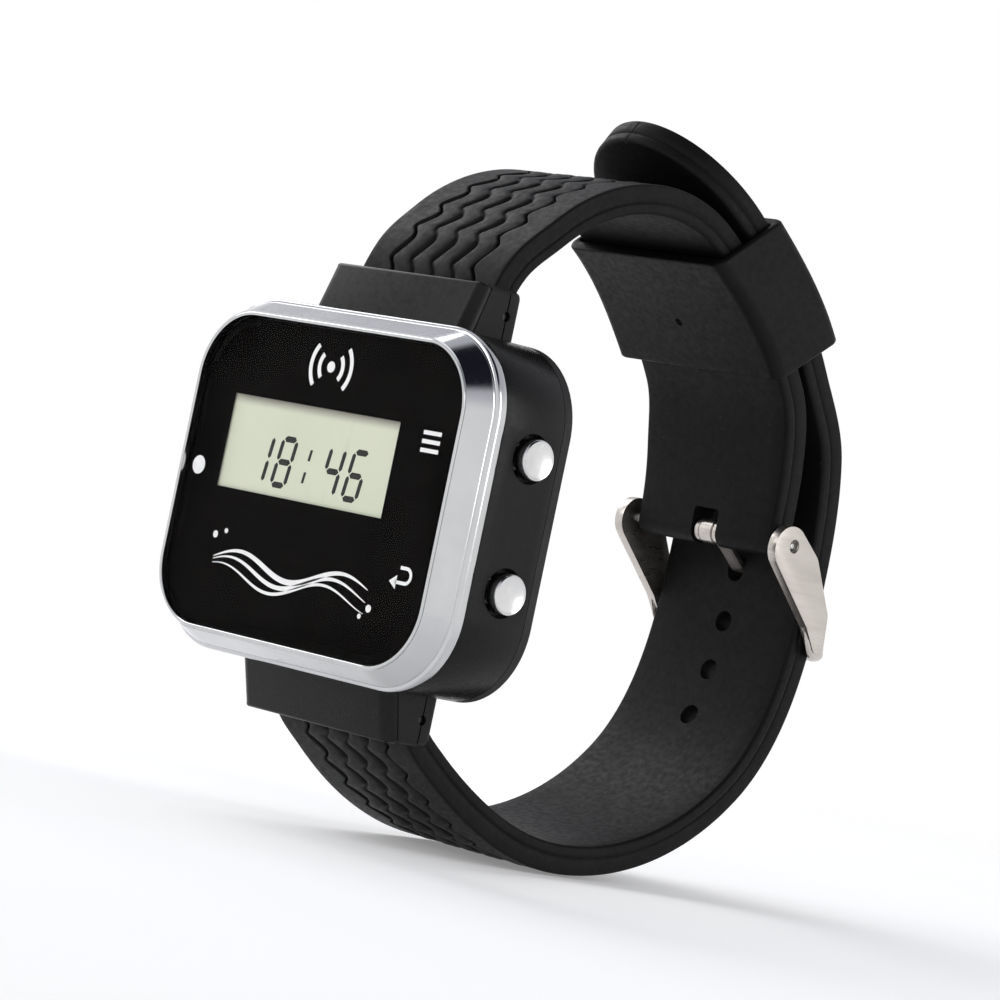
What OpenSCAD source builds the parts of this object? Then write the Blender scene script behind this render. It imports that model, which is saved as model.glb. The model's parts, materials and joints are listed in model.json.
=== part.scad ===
// Wrist pager: a square receiver case on a rubber watch strap, buckled into its loop.
// The face looks along -Y, 12 o'clock is +Z and the buttons are on +X.
// The origin is the middle of the flat back cover, which rests on the wrist.

/* [Case] */
// Width of the bezel, 9 o'clock to 3 o'clock
bezel_w = 47.9; // [46:0.1:52]
// Height of the bezel, 12 o'clock to 6 o'clock
bezel_h = 39.7; // [38:0.1:44]
// Depth of the case from the bezel's lip to the back cover
case_d = 15; // [14.5:0.1:17]
// Corner radius of the bezel
bezel_r = 9.6; // [8.5:0.1:11]
// Thickness of the case wall
wall = 1.6; // [1.4:0.1:2]
// Thickness of the back cover
cover_t = 1.6; // [1.4:0.1:2]

/* [Glass and display] */
// Thickness of the front lens
lens_t = 0.8; // [0.8:0.1:1.2]
// Distance from the bezel's edge to the glass
bezel_rim = 2.45; // [2.2:0.05:2.8]
// Width of the display window
window_w = 27.7; // [24:0.1:30]
// Height of the display window
window_h = 10.5; // [9:0.1:12]
// Height of the window's middle above the case's middle
window_z = 3.4; // [2:0.1:4]

/* [Buttons] */
// Diameter of a button cap
button_dia = 4.5; // [4:0.1:5]
// Height of the upper button above the middle
upper_button_z = 7.5; // [6.5:0.1:8.5]
// Height of the lower button, below the middle
lower_button_z = -7; // [-8:0.1:-6]
// Travel of a button
button_travel = 0.5; // [0.3:0.05:0.5]

/* [Strap] */
// Width of the strap, which narrows to the lugs and to the buckle pin
strap_w = 23.2; // [22.4:0.1:23.4]
// Width of the strap's ends
strap_end_w = 22.2; // [21.5:0.1:22.3]
// Thickness of the strap
strap_t = 3.4; // [3:0.1:3.6]
// Diameter of a buckle hole
hole_dia = 2.4; // [2:0.1:2.6]
// Distance between buckle holes
hole_pitch = 6.3; // [6:0.1:6.4]
// Number of buckle holes
hole_count = 7; // [5:1:8]

/* [Keeper and buckle] */
// Wall of the keeper beside the strap
keeper_wall = 1.6; // [1.2:0.1:2]
// Diameter of the buckle pin
pin_dia = 1.5; // [1.4:0.05:1.6]
// Thickness of a buckle arm
arm_t = 1.2; // [1:0.1:1.3]
// Width of the tongue
tongue_w = 2; // [1.8:0.1:2]
// Thickness of the tongue
tongue_t = 0.9; // [0.8:0.1:0.9]

/* [Hidden] */

$fn = 48;
eps = 0.01;          // a cut runs this far past the face that it opens
run = 0.05;          // radial clearance of a shaft that turns or slides in its hole
gap = 0.1;           // clearance between parts that only lie together

// Levels along Y, from the bezel's lip at the front to the back cover's face at 0
lip_y = -case_d;
lens_front_y = lip_y + 0.15;
lens_back_y = lens_front_y + lens_t;
mask_t = 0.1;
tape_t = 0.2;
rim_front_y = lens_back_y + mask_t + tape_t;
shelf_front_y = -10.6;
shelf_back_y = shelf_front_y + 1;
cover_front_y = -cover_t;
pcb_front_y = -8.6;
pcb_back_y = pcb_front_y + 1;

// Outlines, as half sizes
glass_w = bezel_w - 2 * bezel_rim;
glass_h = bezel_h - 2 * bezel_rim;
glass_r = bezel_r - bezel_rim;
body_w = bezel_w - 0.5;
body_h = bezel_h - 0.5;
body_r = bezel_r - 0.25;
side_x = body_w / 2;
inner_x = side_x - wall;
neck_w = glass_w - 0.1;
neck_h = glass_h - 0.1;
rim_w = neck_w - 2.1;
rim_h = neck_h - 2.1;
rim_r = glass_r - 1.1;

// Screws and the posts that they go into
post_x = 17;
post_z = 13;
post_r = 2.2;
screw_r = 0.7;
screw_head_r = 1.4;

// Window and its display
window_x = -2.15;
lcd_w = window_w + 1.8;
lcd_h = window_h + 1.9;
lcd_front_y = lens_back_y + mask_t + 0.15;
lcd_t = 1.8;
lcd_back_y = lcd_front_y + lcd_t;
led_x = -19.7;

// Button, recess, spring pocket and seal groove, all along X at the button's own height
button_y = -5.6;
cap_in_x = side_x - 0.5;
cap_out_x = side_x + 1.7;
recess_r = button_dia / 2 + 0.7;
recess_x = cap_in_x - button_travel - 0.2;
stem_r = 1;
boss_x = inner_x - 1.6;
boss_r = 2.9;
pocket_r = 1.75;
pocket_x = recess_x - 1.1;
clip_x = boss_x - 0.3;
stem_end_x = boss_x - 0.8;
switch_face_x = stem_end_x - 0.9;
plunger_r = 0.6;

// Motor, laid along X under the battery
motor_y = -4.9;
motor_z = -14.6;
motor_r = 2;
motor_x0 = -4;
motor_x1 = 6;
shaft_r = 0.4;

// Lug hoods and spring bars
bar_y = -2.7;
bar_z = 22.3;
hood_half_w = 12.4;
hood_wall = 1.1;
hood_top_z = 25.3;
hood_foot_y = -9.4;
hood_head_y = -7;
hood_back_y = -0.8;
tube_half_l = 10.4;
tube_r = 0.75;
tip_r = 0.45;
tip_body_r = 0.6;

// Strap loop. Both straps share the circle about ring_c where the keeper rides.
ring_c = [5, -6.4];
ring_upper_r = 50;
ring_lower_r = ring_upper_r + strap_t + 0.9;
pin_yz = [49.4, 4.9];
cross_bar_yz = [59.35, -7.1];
cross_bar_r = 0.8;
tip_round_l = 15;    // length of the strap's rounded end

function dir(a) = [cos(a), sin(a)];
function on_ring(r, polar) = [ring_c[0] + r * cos(polar), ring_c[1] + r * sin(polar)];

// Stations on a strap's middle line: [y, z, heading], from the spring bar outwards
upper_stations = [
    [bar_y, bar_z, 90],
    [-1, 27.8, 60],
    [3.6, 32.7, 44],
    [19.5, 39.6, 2],
    concat(on_ring(ring_upper_r, 61), -29),
    concat(on_ring(ring_upper_r, 48), -42),
    concat(on_ring(ring_upper_r, 35), -55),
    [48.6, 14, -79],
    [pin_yz[0], pin_yz[1], -88]
];
lower_stations = [
    [bar_y, -bar_z, -70],
    [2.2, -27.2, -36],
    [24, -35.3, 0],
    [49, -24.7, 47],
    [56.4, 0, 89],
    [55, 15.6, 105],
    concat(on_ring(ring_lower_r, 35), 125),
    concat(on_ring(ring_lower_r, 52), 142),
    [24, 46.85, 146]
];

// One piece of the middle line between two stations, as a cubic curve that leaves and
// arrives along their headings
function curve_point(a, b, t) =
    let (
        p0 = [a[0], a[1]],
        p3 = [b[0], b[1]],
        quarter = cos((b[2] - a[2]) / 4),
        handle = norm(p3 - p0) / (3 * quarter * quarter),
        p1 = p0 + handle * dir(a[2]),
        p2 = p3 - handle * dir(b[2]),
        u = 1 - t
    )
    u*u*u * p0 + 3*u*u*t * p1 + 3*u*t*t * p2 + t*t*t * p3;

function middle_line(stations, steps = 6) = [
    for (i = [0:len(stations) - 2])
        for (j = [0:i == len(stations) - 2 ? steps : steps - 1])
            curve_point(stations[i], stations[i + 1], j / steps)
];

function side_way(line, i) =
    let (
        a = line[max(i - 1, 0)],
        b = line[min(i + 1, len(line) - 1)],
        d = (b - a) / norm(b - a)
    )
    [-d[1], d[0]];

function beside(line, off) = [for (i = [0:len(line) - 1]) line[i] + off * side_way(line, i)];
function reversed(list) = [for (i = [len(list) - 1:-1:0]) list[i]];

// Point and heading at a distance s along a line
function walk(line, s, i = 0) =
    let (step = norm(line[i + 1] - line[i]))
    s <= step || i == len(line) - 2
        ? concat(line[i] + (line[i + 1] - line[i]) * s / step,
                 atan2(line[i + 1][1] - line[i][1], line[i + 1][0] - line[i][0]))
        : walk(line, s - step, i + 1);

function length_to(line, last, i = 0) =
    i == last ? 0 : norm(line[i + 1] - line[i]) + length_to(line, last, i + 1);

lower_line = middle_line(lower_stations);
tongue_hole_s = length_to(lower_line, 24) + 0.8;  // 24 is the station beside the buckle

// ---- Shared shapes ----

// A profile drawn in Y and Z, with thickness along X about x
module along_x(x, w) {
    translate([x - w / 2, 0, 0]) rotate([90, 0, 90]) linear_extrude(w) children();
}

// An outline drawn in X and Z, filled from y0 back to y1
module along_y(y0, y1) {
    translate([0, y1, 0]) rotate([90, 0, 0]) linear_extrude(y1 - y0) children();
}

// A round bar or hole along X
module rod_x(x0, x1, r, yz) {
    translate([x0, yz[0], yz[1]]) rotate([0, 90, 0]) cylinder(h = x1 - x0, r = r);
}

// A round bar or hole along Y
module rod_y(y0, y1, r, x, z) {
    translate([x, y0, z]) rotate([-90, 0, 0]) cylinder(h = y1 - y0, r = r);
}

module rounded(w, h, r) {
    square([w - 2 * r, h], center = true);
    square([w, h - 2 * r], center = true);
    for (sx = [-1, 1]) for (sz = [-1, 1])
        translate([sx * (w / 2 - r), sz * (h / 2 - r)]) circle(r);
}

// A ring that follows a rounded rectangle: children() is its section, drawn with X as
// the distance outside the rectangle and Y as the depth
module rounded_ring(w, h, r) {
    straight_w = w - 2 * r;
    straight_h = h - 2 * r;
    rotate([-90, 0, 0]) {
        for (k = [0:3]) {
            cx = (k == 0 || k == 3) ? straight_w / 2 : -straight_w / 2;
            cz = k < 2 ? straight_h / 2 : -straight_h / 2;
            translate([cx, cz, 0]) rotate(90 * k) rotate_extrude(angle = 90, $fn = 96)
                translate([r, 0]) children();
            run_len = k % 2 == 0 ? straight_h : straight_w;
            rotate(90 * k) translate([(k % 2 == 0 ? w : h) / 2, run_len / 2, 0])
                rotate([90, 0, 0]) linear_extrude(run_len) children();
        }
    }
}

// A helical spring along X, as one closed skin swept round the coil
module coil_x(x0, x1, r, wire_r, turns, sides = 8, per_turn = 14) {
    rings = turns * per_turn;
    points = [
        for (i = [0:rings])
            let (a = 360 * i / per_turn, x = x0 + (x1 - x0) * i / rings)
            for (j = [0:sides - 1])
                let (b = 360 * j / sides, rr = r + wire_r * cos(b))
                [x + wire_r * sin(b), rr * cos(a), rr * sin(a)]
    ];
    skin = [
        for (i = [0:rings - 1]) for (j = [0:sides - 1])
            let (k = (j + 1) % sides, a = i * sides, b = a + sides)
            [a + j, a + k, b + k, b + j]
    ];
    polyhedron(points, concat(skin, [reversed([for (j = [0:sides - 1]) j])],
                              [[for (j = [0:sides - 1]) rings * sides + j]]), convexity = 10);
}

// ---- Case ----

// Side view of a hood: its front leans back towards the top, and both top corners are round
module hood_profile() {
    root_z = body_h / 2 - wall + 0.1;   // inside the case's wall
    front_r = 0.8;
    back_r = 1.2;
    hull() {
        translate([hood_head_y + front_r, hood_top_z - front_r]) circle(front_r, $fn = 32);
        translate([hood_back_y - back_r, hood_top_z - back_r]) circle(back_r, $fn = 32);
        translate([hood_foot_y, root_z]) square([hood_back_y - hood_foot_y, 0.1]);
    }
}

module hood() {
    inside_w = 2 * (hood_half_w - hood_wall);
    inside_z = body_h / 2;
    inside_y = -5.6;
    top_back_y = -4.5;
    difference() {
        along_x(0, 2 * hood_half_w) hood_profile();
        // room for the end of the strap, open at the back
        translate([-inside_w / 2, inside_y, inside_z])
            cube([inside_w, case_d, hood_top_z - hood_wall - inside_z]);
        translate([-inside_w / 2, top_back_y, inside_z]) cube([inside_w, case_d, case_d]);
        rod_x(-hood_half_w - 1, hood_half_w + 1, tip_r + run, [bar_y, bar_z]);
        // room for the edge of the back cover
        along_y(cover_front_y, 1) rounded(body_w + 2 * gap, body_h + 2 * gap, body_r + gap);
    }
}

module button_bore(z) {
    rod_x(recess_x, side_x + 1, recess_r, [button_y, z]);
    rod_x(pocket_x, recess_x + eps, pocket_r, [button_y, z]);
    rod_x(boss_x - 1, pocket_x + eps, stem_r + run, [button_y, z]);
    rod_x(boss_x + 0.45, boss_x + 0.95, stem_r + 0.6, [button_y, z]);
}

module case_body() {
    color([0.03, 0.03, 0.035]) difference() {
        union() {
            difference() {
                along_y(shelf_front_y, cover_front_y) rounded(body_w, body_h, body_r);
                along_y(shelf_back_y, cover_front_y + eps)
                    rounded(body_w - 2 * wall, body_h - 2 * wall, body_r - wall);
            }
            along_y(rim_front_y, shelf_front_y + eps) rounded(neck_w, neck_h, glass_r - 0.05);
            for (sx = [-1, 1]) for (sz = [-1, 1]) {
                rod_y(shelf_back_y - eps, cover_front_y, post_r, sx * post_x, sz * post_z);
                rod_y(shelf_back_y - eps, pcb_front_y, post_r + 0.6, sx * post_x, sz * post_z);
            }
            for (z = [upper_button_z, lower_button_z])
                rod_x(boss_x, inner_x + 0.1, boss_r, [button_y, z]);
            hood();
            mirror([0, 0, 1]) hood();
        }
        along_y(rim_front_y - eps, shelf_back_y + eps) rounded(rim_w, rim_h, rim_r);
        for (sx = [-1, 1]) for (sz = [-1, 1])
            rod_y(-6.6, 0, screw_r + run, sx * post_x, sz * post_z);
        button_bore(upper_button_z);
        button_bore(lower_button_z);
        // mouth of the charging socket, in the 9 o'clock side
        translate([-side_x - 1, socket_y - socket_t / 2 - gap, socket_z - socket_w / 2 - gap])
            cube([wall + 2, socket_t + 2 * gap, socket_w + 2 * gap]);
        // groove for the gasket
        rounded_groove();
    }
}

module rounded_groove() {
    along_y(cover_front_y - 0.3, cover_front_y + 0.1) difference() {
        rounded(body_w - 1.2, body_h - 1.2, body_r - 0.6);
        rounded(body_w - 2.4, body_h - 2.4, body_r - 1.2);
    }
}

module bezel_section() {
    polygon([
        [0.05, lip_y],
        [0.4, lip_y],
        [bezel_rim, -11.5],
        [bezel_rim, shelf_front_y],
        [1.5, shelf_front_y],
        [0.05, rim_front_y + 0.4]
    ]);
}

module bezel_ring() {
    color([0.75, 0.75, 0.8]) rounded_ring(glass_w, glass_h, glass_r) bezel_section();
}

module front_lens() {
    color([0.1, 0.1, 0.11, 0.5]) along_y(lens_front_y, lens_back_y)
        rounded(glass_w, glass_h, glass_r);
}

module lens_mask() {
    color([0.01, 0.01, 0.01]) difference() {
        along_y(lens_back_y, lens_back_y + mask_t) rounded(glass_w - 0.3, glass_h - 0.3, glass_r);
        translate([window_x - window_w / 2, lens_back_y - 1, window_z - window_h / 2])
            cube([window_w, 2, window_h]);
        rod_y(lens_back_y - 1, lens_back_y + 1, 1.1, led_x, 0);
    }
}

module lens_tape() {
    color([0.12, 0.12, 0.12]) along_y(lens_back_y + mask_t, rim_front_y) difference() {
        rounded(neck_w - 0.4, neck_h - 0.4, glass_r - 0.25);
        rounded(neck_w - 1.9, neck_h - 1.9, glass_r - 1);
    }
}

module back_cover() {
    color([0.05, 0.05, 0.055]) difference() {
        union() {
            along_y(cover_front_y, -0.5) rounded(body_w, body_h, body_r);
            along_y(-0.5 - eps, 0) rounded(body_w - 1, body_h - 1, body_r - 0.5);
        }
        for (sx = [-1, 1]) for (sz = [-1, 1]) {
            rod_y(cover_front_y - 1, 1, screw_r + gap, sx * post_x, sz * post_z);
            rod_y(-0.9, 1, screw_head_r + gap, sx * post_x, sz * post_z);
        }
    }
}

module back_gasket() {
    color([0.15, 0.15, 0.15]) along_y(cover_front_y - 0.3, cover_front_y) difference() {
        rounded(body_w - 1.2, body_h - 1.2, body_r - 0.6);
        rounded(body_w - 2.4, body_h - 2.4, body_r - 1.2);
    }
}

module back_screws() {
    color([0.6, 0.6, 0.62]) for (sx = [-1, 1]) for (sz = [-1, 1]) difference() {
        union() {
            rod_y(-6.2, -0.85, screw_r, sx * post_x, sz * post_z);
            rod_y(-0.9, -0.15, screw_head_r, sx * post_x, sz * post_z);
        }
        translate([sx * post_x, 0, sz * post_z]) {
            cube([1.7, 1, 0.4], center = true);
            cube([0.4, 1, 1.7], center = true);
        }
    }
}

// ---- Display ----

module lcd_glass() {
    color([0.75, 0.78, 0.68]) translate([window_x - lcd_w / 2, lcd_front_y, window_z - lcd_h / 2])
        cube([lcd_w, lcd_t, lcd_h]);
}

module lcd_backlight() {
    color([0.9, 0.92, 0.9])
        translate([window_x - lcd_w / 2, lcd_back_y + 0.02, window_z - lcd_h / 2 + 2])
            cube([lcd_w, 1.5, lcd_h - 4]);
}

module lcd_holder() {
    frame_t = 0.5;
    color([0.9, 0.9, 0.88]) difference() {
        translate([window_x - lcd_w / 2 - frame_t, lcd_front_y + 0.05,
                   window_z - lcd_h / 2 - frame_t])
            cube([lcd_w + 2 * frame_t, pcb_front_y - lcd_front_y - 0.05, lcd_h + 2 * frame_t]);
        translate([window_x - lcd_w / 2 - gap, lcd_front_y - 1, window_z - lcd_h / 2 - gap])
            cube([lcd_w + 2 * gap, case_d, lcd_h + 2 * gap]);
    }
}

module zebra_strips() {
    strip_w = 1.6;
    color([0.85, 0.4, 0.5]) for (s = [-1, 1])
        translate([window_x - lcd_w / 2 + 1, lcd_back_y,
                   window_z + s * (lcd_h / 2 - 0.1 - strip_w / 2) - strip_w / 2])
            cube([lcd_w - 2, pcb_front_y - lcd_back_y, strip_w]);
}

// ---- Electronics ----

module main_pcb() {
    left_x = -inner_x + 0.4;
    right_x = boss_x - 0.2;
    board_h = body_h - 2 * wall - 0.8;
    color([0.05, 0.3, 0.15]) difference() {
        translate([(left_x + right_x) / 2, 0, 0]) along_y(pcb_front_y, pcb_back_y)
            rounded(right_x - left_x, board_h, 7);
        for (sx = [-1, 1]) for (sz = [-1, 1])
            rod_y(pcb_front_y - 1, pcb_back_y + 1, post_r + gap, sx * post_x, sz * post_z);
    }
}

// A chip on the front of the board with legs along two sides
module chip(x, z, w, h, t, legs) {
    leg_pitch = (h - 0.6) / (legs - 1);
    translate([x - w / 2, pcb_front_y - t - 0.1, z - h / 2]) cube([w, t, h]);
    for (s = [-1, 1]) for (i = [0:legs - 1])
        translate([x + s * (w / 2 + 0.35) - 0.4, pcb_front_y - 0.4,
                   z - h / 2 + 0.3 + i * leg_pitch - 0.12])
            cube([0.8, 0.4, 0.24]);
}

module mcu_chip() {
    color([0.08, 0.08, 0.08]) chip(-8, -7.9, 7, 7, 1.2, 8);
}

module receiver_chip() {
    color([0.1, 0.1, 0.1]) chip(1.5, -8.6, 4, 5, 1, 6);
}

module crystal_can() {
    can_r = 1.6;
    can_half_l = 3;
    can_x = 9.3;
    can_z = -7;
    color([0.7, 0.7, 0.7]) along_y(pcb_front_y - 2.6, pcb_front_y) {
        translate([can_x, can_z]) square([2 * can_half_l, 2 * can_r], center = true);
        for (s = [-1, 1]) translate([can_x + s * can_half_l, can_z]) circle(can_r);
    }
}

module chip_passives() {
    color([0.6, 0.5, 0.35]) {
        for (i = [0:5]) translate([-15.4, pcb_front_y - 0.5, -10.4 + 1.3 * i]) cube([1, 0.5, 0.5]);
        for (i = [0:4]) translate([5 + 1.6 * i, pcb_front_y - 0.5, -10.6]) cube([0.5, 0.5, 1]);
        for (i = [0:3]) translate([-12 + 8 * i, pcb_back_y, 14]) cube([1.6, 0.8, 0.8]);
    }
}

module antenna_coil() {
    color([0.8, 0.5, 0.25]) translate([0, pcb_front_y - 1.85, -13.3])
        coil_x(-5, 9, 1.5, 0.25, 8, 6, 12);
}

module indicator_led() {
    color([0.95, 0.95, 0.8]) translate([led_x - 1.2, pcb_front_y - 0.8, -1])
        cube([2.2, 0.8, 2]);
}

module light_pipe() {
    color([0.95, 0.95, 0.95]) rod_y(lens_back_y + 0.02, pcb_front_y - 0.85, 0.5, led_x, 0);
}

module battery_cell() {
    color([0.6, 0.62, 0.65]) translate([-13, pcb_back_y + 0.3, -10.8]) cube([24, 3.6, 22.6]);
}

module battery_pad() {
    pad_y = pcb_back_y + 0.3 + 3.6;
    color([0.2, 0.2, 0.2]) translate([-10, pad_y, -8]) cube([18, cover_front_y - pad_y, 17]);
}

// Each lead leaves the cell along Z and bends round to the board in one quarter turn
module battery_leads() {
    lead_r = 0.35;
    bend_r = 1;
    cell_top_z = 11.8;
    lead_y = pcb_back_y + 1.8;
    for (k = [0:1]) color(k == 0 ? "red" : [0.1, 0.1, 0.1]) translate([-6 + 1.2 * k, 0, 0]) {
        translate([0, lead_y, cell_top_z]) cylinder(h = 1.4, r = lead_r);
        translate([0, lead_y - bend_r, cell_top_z + 1.4]) rotate([0, -90, 0])
            rotate_extrude(angle = 90) translate([bend_r, 0]) circle(lead_r);
        rod_y(pcb_back_y, lead_y - bend_r, lead_r, 0, cell_top_z + 1.4 + bend_r);
    }
}

socket_w = 7.5;
socket_t = 2.7;
socket_y = pcb_back_y + socket_t / 2 + 0.05;
socket_z = 2;

module charge_socket() {
    shell_t = 0.25;
    depth = 5.2;
    mouth_x = -side_x + 0.3;
    color([0.7, 0.7, 0.72]) {
        difference() {
            translate([mouth_x, socket_y - socket_t / 2, socket_z - socket_w / 2])
                cube([depth, socket_t, socket_w]);
            translate([mouth_x - 1, socket_y - socket_t / 2 + shell_t,
                       socket_z - socket_w / 2 + shell_t])
                cube([depth - shell_t + 1, socket_t - 2 * shell_t, socket_w - 2 * shell_t]);
        }
        translate([mouth_x + 0.8, socket_y - 0.3, socket_z - 2]) cube([depth - 0.9, 0.6, 4]);
    }
}

module motor_can() {
    color([0.75, 0.75, 0.78]) difference() {
        rod_x(motor_x0, motor_x1, motor_r, [motor_y, motor_z]);
        rod_x(motor_x0 + 4, motor_x1 + 1, shaft_r + run, [motor_y, motor_z]);
    }
}

module motor_boot() {
    boot_r = motor_r + 0.6;
    color([0.1, 0.1, 0.1]) difference() {
        union() {
            rod_x(motor_x0 + 0.5, motor_x1 - 2, boot_r, [motor_y, motor_z]);
            translate([motor_x0 + 0.5, pcb_back_y, motor_z - boot_r])
                cube([motor_x1 - motor_x0 - 2.5, motor_y - pcb_back_y, 2 * boot_r]);
        }
        rod_x(motor_x0, motor_x1, motor_r, [motor_y, motor_z]);
    }
}

module motor_weight() {
    weight_r = 1.9;
    color([0.5, 0.5, 0.52]) {
        rod_x(motor_x0 + 4.1, motor_x1 + 3.6, shaft_r, [motor_y, motor_z]);
        difference() {
            rod_x(motor_x1 + 0.5, motor_x1 + 3.4, weight_r, [motor_y, motor_z]);
            translate([motor_x1, motor_y - 3, motor_z + 0.6]) cube([6, 6, 3]);
        }
    }
}

// ---- Buttons ----

module button(z) {
    dome_r = 6;
    rim_r = 0.5;
    color([0.85, 0.85, 0.87]) difference() {
        translate([0, button_y, z]) rotate([0, 90, 0]) rotate_extrude() {
            difference() {
                translate([0, cap_in_x]) square([button_dia / 2, cap_out_x - cap_in_x]);
                translate([button_dia / 2 - rim_r, cap_out_x - rim_r])
                    square([rim_r + eps, rim_r + eps]);
                translate([0, cap_out_x + dome_r - 0.25]) circle(dome_r, $fn = 96);
            }
            translate([button_dia / 2 - rim_r, cap_out_x - rim_r]) intersection() {
                circle(rim_r);
                square(rim_r);
            }
            translate([0, stem_end_x]) square([stem_r, cap_in_x + eps - stem_end_x]);
        }
        // groove for the clip
        translate([clip_x, button_y, z]) rotate([0, 90, 0]) difference() {
            cylinder(h = 0.26, r = stem_r + 1);
            cylinder(h = 0.26, r = stem_r - 0.25);
        }
    }
}

module button_clip(z) {
    color([0.6, 0.6, 0.62]) translate([clip_x + 0.03, button_y, z]) rotate([0, 90, 0])
        difference() {
            cylinder(h = 0.2, r = 1.7);
            translate([0, 0, -1]) cylinder(h = 2, r = stem_r - 0.22);
            translate([0, -0.55, -1]) cube([3, 1.1, 2]);
        }
}

module button_spring(z) {
    color([0.7, 0.7, 0.7]) translate([0, button_y, z])
        coil_x(pocket_x + 0.15, cap_in_x - 0.15, 1.35, 0.13, 3);
}

module button_seal(z) {
    color([0.1, 0.1, 0.1]) translate([boss_x + 0.7, button_y, z]) rotate([0, 90, 0])
        rotate_extrude() translate([stem_r + run + 0.25, 0]) circle(0.22, $fn = 24);
}

module switch_body(z) {
    color([0.1, 0.1, 0.1]) difference() {
        translate([switch_face_x - 2.8, pcb_back_y, z - 2]) cube([2.8, 3.6, 4]);
        rod_x(switch_face_x - 1.6, switch_face_x + 1, plunger_r + run, [button_y, z]);
    }
}

module switch_plunger(z) {
    color([0.85, 0.85, 0.8]) rod_x(switch_face_x - 0.95, stem_end_x - 0.02, plunger_r,
                                   [button_y, z]);
}

// ---- Spring bars: side is 1 at 12 o'clock and -1 at 6 o'clock ----

module bar_tube(side) {
    end_t = 0.5;
    color([0.65, 0.65, 0.67]) difference() {
        rod_x(-tube_half_l, tube_half_l, tube_r, [bar_y, side * bar_z]);
        rod_x(-tube_half_l + end_t, tube_half_l - end_t, tip_body_r + 0.04,
              [bar_y, side * bar_z]);
        rod_x(-tube_half_l - 1, tube_half_l + 1, tip_r + run, [bar_y, side * bar_z]);
    }
}

module bar_tip(side, end) {
    shoulder_x = tube_half_l - 0.55;
    end_x = hood_half_w - 0.5;
    color([0.7, 0.7, 0.72]) mirror([end < 0 ? 1 : 0, 0, 0]) {
        rod_x(shoulder_x - eps, end_x, tip_r, [bar_y, side * bar_z]);
        rod_x(shoulder_x - 2, shoulder_x, tip_body_r, [bar_y, side * bar_z]);
    }
}

module bar_spring(side) {
    half = tube_half_l - 2.8;
    color([0.75, 0.75, 0.75]) translate([0, bar_y, side * bar_z])
        coil_x(-half, half, 0.42, 0.1, 10, 6, 10);
}

// ---- Strap ----

// Half a turn of radius r about c, from the side at angle a
function round_end(c, r, a) = [for (k = [1:11]) c + r * dir(a - 15 * k)];

// A band of thickness t along a middle line, with round ends, grown all round by grow
module band_profile(stations, t, steps = 6, grow = 0) {
    line = middle_line(stations, steps);
    last = len(line) - 1;
    r = t / 2 + grow;
    polygon(concat(beside(line, r),
                   round_end(line[last], r, stations[len(stations) - 1][2] + 90),
                   reversed(beside(line, -r)),
                   round_end(line[0], r, stations[0][2] - 90)));
}

// Wedges that narrow a strap on both sides, from its full width at z_wide to its end's
// width at z_end and beyond, over the depths y0 to y1
module narrowing(z_wide, z_end, y0, y1) {
    beyond = z_end + (z_end > z_wide ? case_d : -case_d);
    for (s = [0, 1]) mirror([s, 0, 0]) along_y(y0, y1) polygon([
        [strap_w / 2, z_wide],
        [strap_end_w / 2, z_end],
        [strap_end_w / 2, beyond],
        [strap_w, beyond],
        [strap_w, z_wide]
    ]);
}

module strap_upper() {
    notch_w = 4;
    notch_l = 2.6;
    pin_end_y = pin_yz[0] - strap_t;
    color([0.08, 0.08, 0.085]) difference() {
        along_x(0, strap_w) band_profile(upper_stations, strap_t);
        narrowing(34, hood_top_z + 0.3, -case_d, 10);
        narrowing(18, 6, pin_end_y - 2, pin_end_y + 10);
        rod_x(-strap_w, strap_w, tube_r + run, [bar_y, bar_z]);
        rod_x(-strap_w, strap_w, pin_dia / 2 + run, pin_yz);
        translate([-notch_w / 2, pin_yz[0] - 5, pin_yz[1] - 5]) cube([notch_w, 10, 5 + notch_l]);
    }
}

// The rounded end of the strap, cut square to the strap's middle line at the tip
module tip_rounding() {
    tip = lower_stations[len(lower_stations) - 1];
    half_w = strap_w / 2;
    translate([0, tip[0], tip[1]]) rotate([tip[2], 0, 0])
        translate([0, strap_t / 2 - tip_round_l, -5]) linear_extrude(10) difference() {
            translate([-half_w - 1, 0]) square([2 * half_w + 2, tip_round_l + 1]);
            polygon([for (a = [0:7.5:180]) [half_w * cos(a), tip_round_l * sin(a)]]);
        }
}

module buckle_hole(s) {
    at = walk(lower_line, s);
    translate([0, at[0], at[1]]) rotate([at[2], 0, 0]) translate([0, 0, -strap_t])
        cylinder(h = 2 * strap_t, r = hole_dia / 2, $fn = 32);
}

module strap_lower() {
    first = -3;
    color([0.08, 0.08, 0.085]) difference() {
        along_x(0, strap_w) band_profile(lower_stations, strap_t);
        narrowing(-33, -hood_top_z - 0.3, -case_d, 10);
        rod_x(-strap_w, strap_w, tube_r + run, [bar_y, -bar_z]);
        for (i = [0:hole_count - 1]) buckle_hole(tongue_hole_s + (first + i) * hole_pitch);
        along_x(0, tongue_w + 0.4) tongue_profile(0.3);
        tip_rounding();
    }
}

// ---- Keeper and buckle ----

// The keeper's ends, as angles about ring_c on its inner and outer faces
keeper_low_in = 39.3;
keeper_low_out = 38.7;
keeper_top_in = 60.4;
keeper_top_out = 56;
keeper_in_r = ring_upper_r - strap_t / 2 - 1.75;
keeper_out_r = ring_lower_r + strap_t / 2 + 1.75;

function arc(r, a0, a1, n) = [for (i = [0:n]) on_ring(r, a0 + (a1 - a0) * i / n)];

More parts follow.
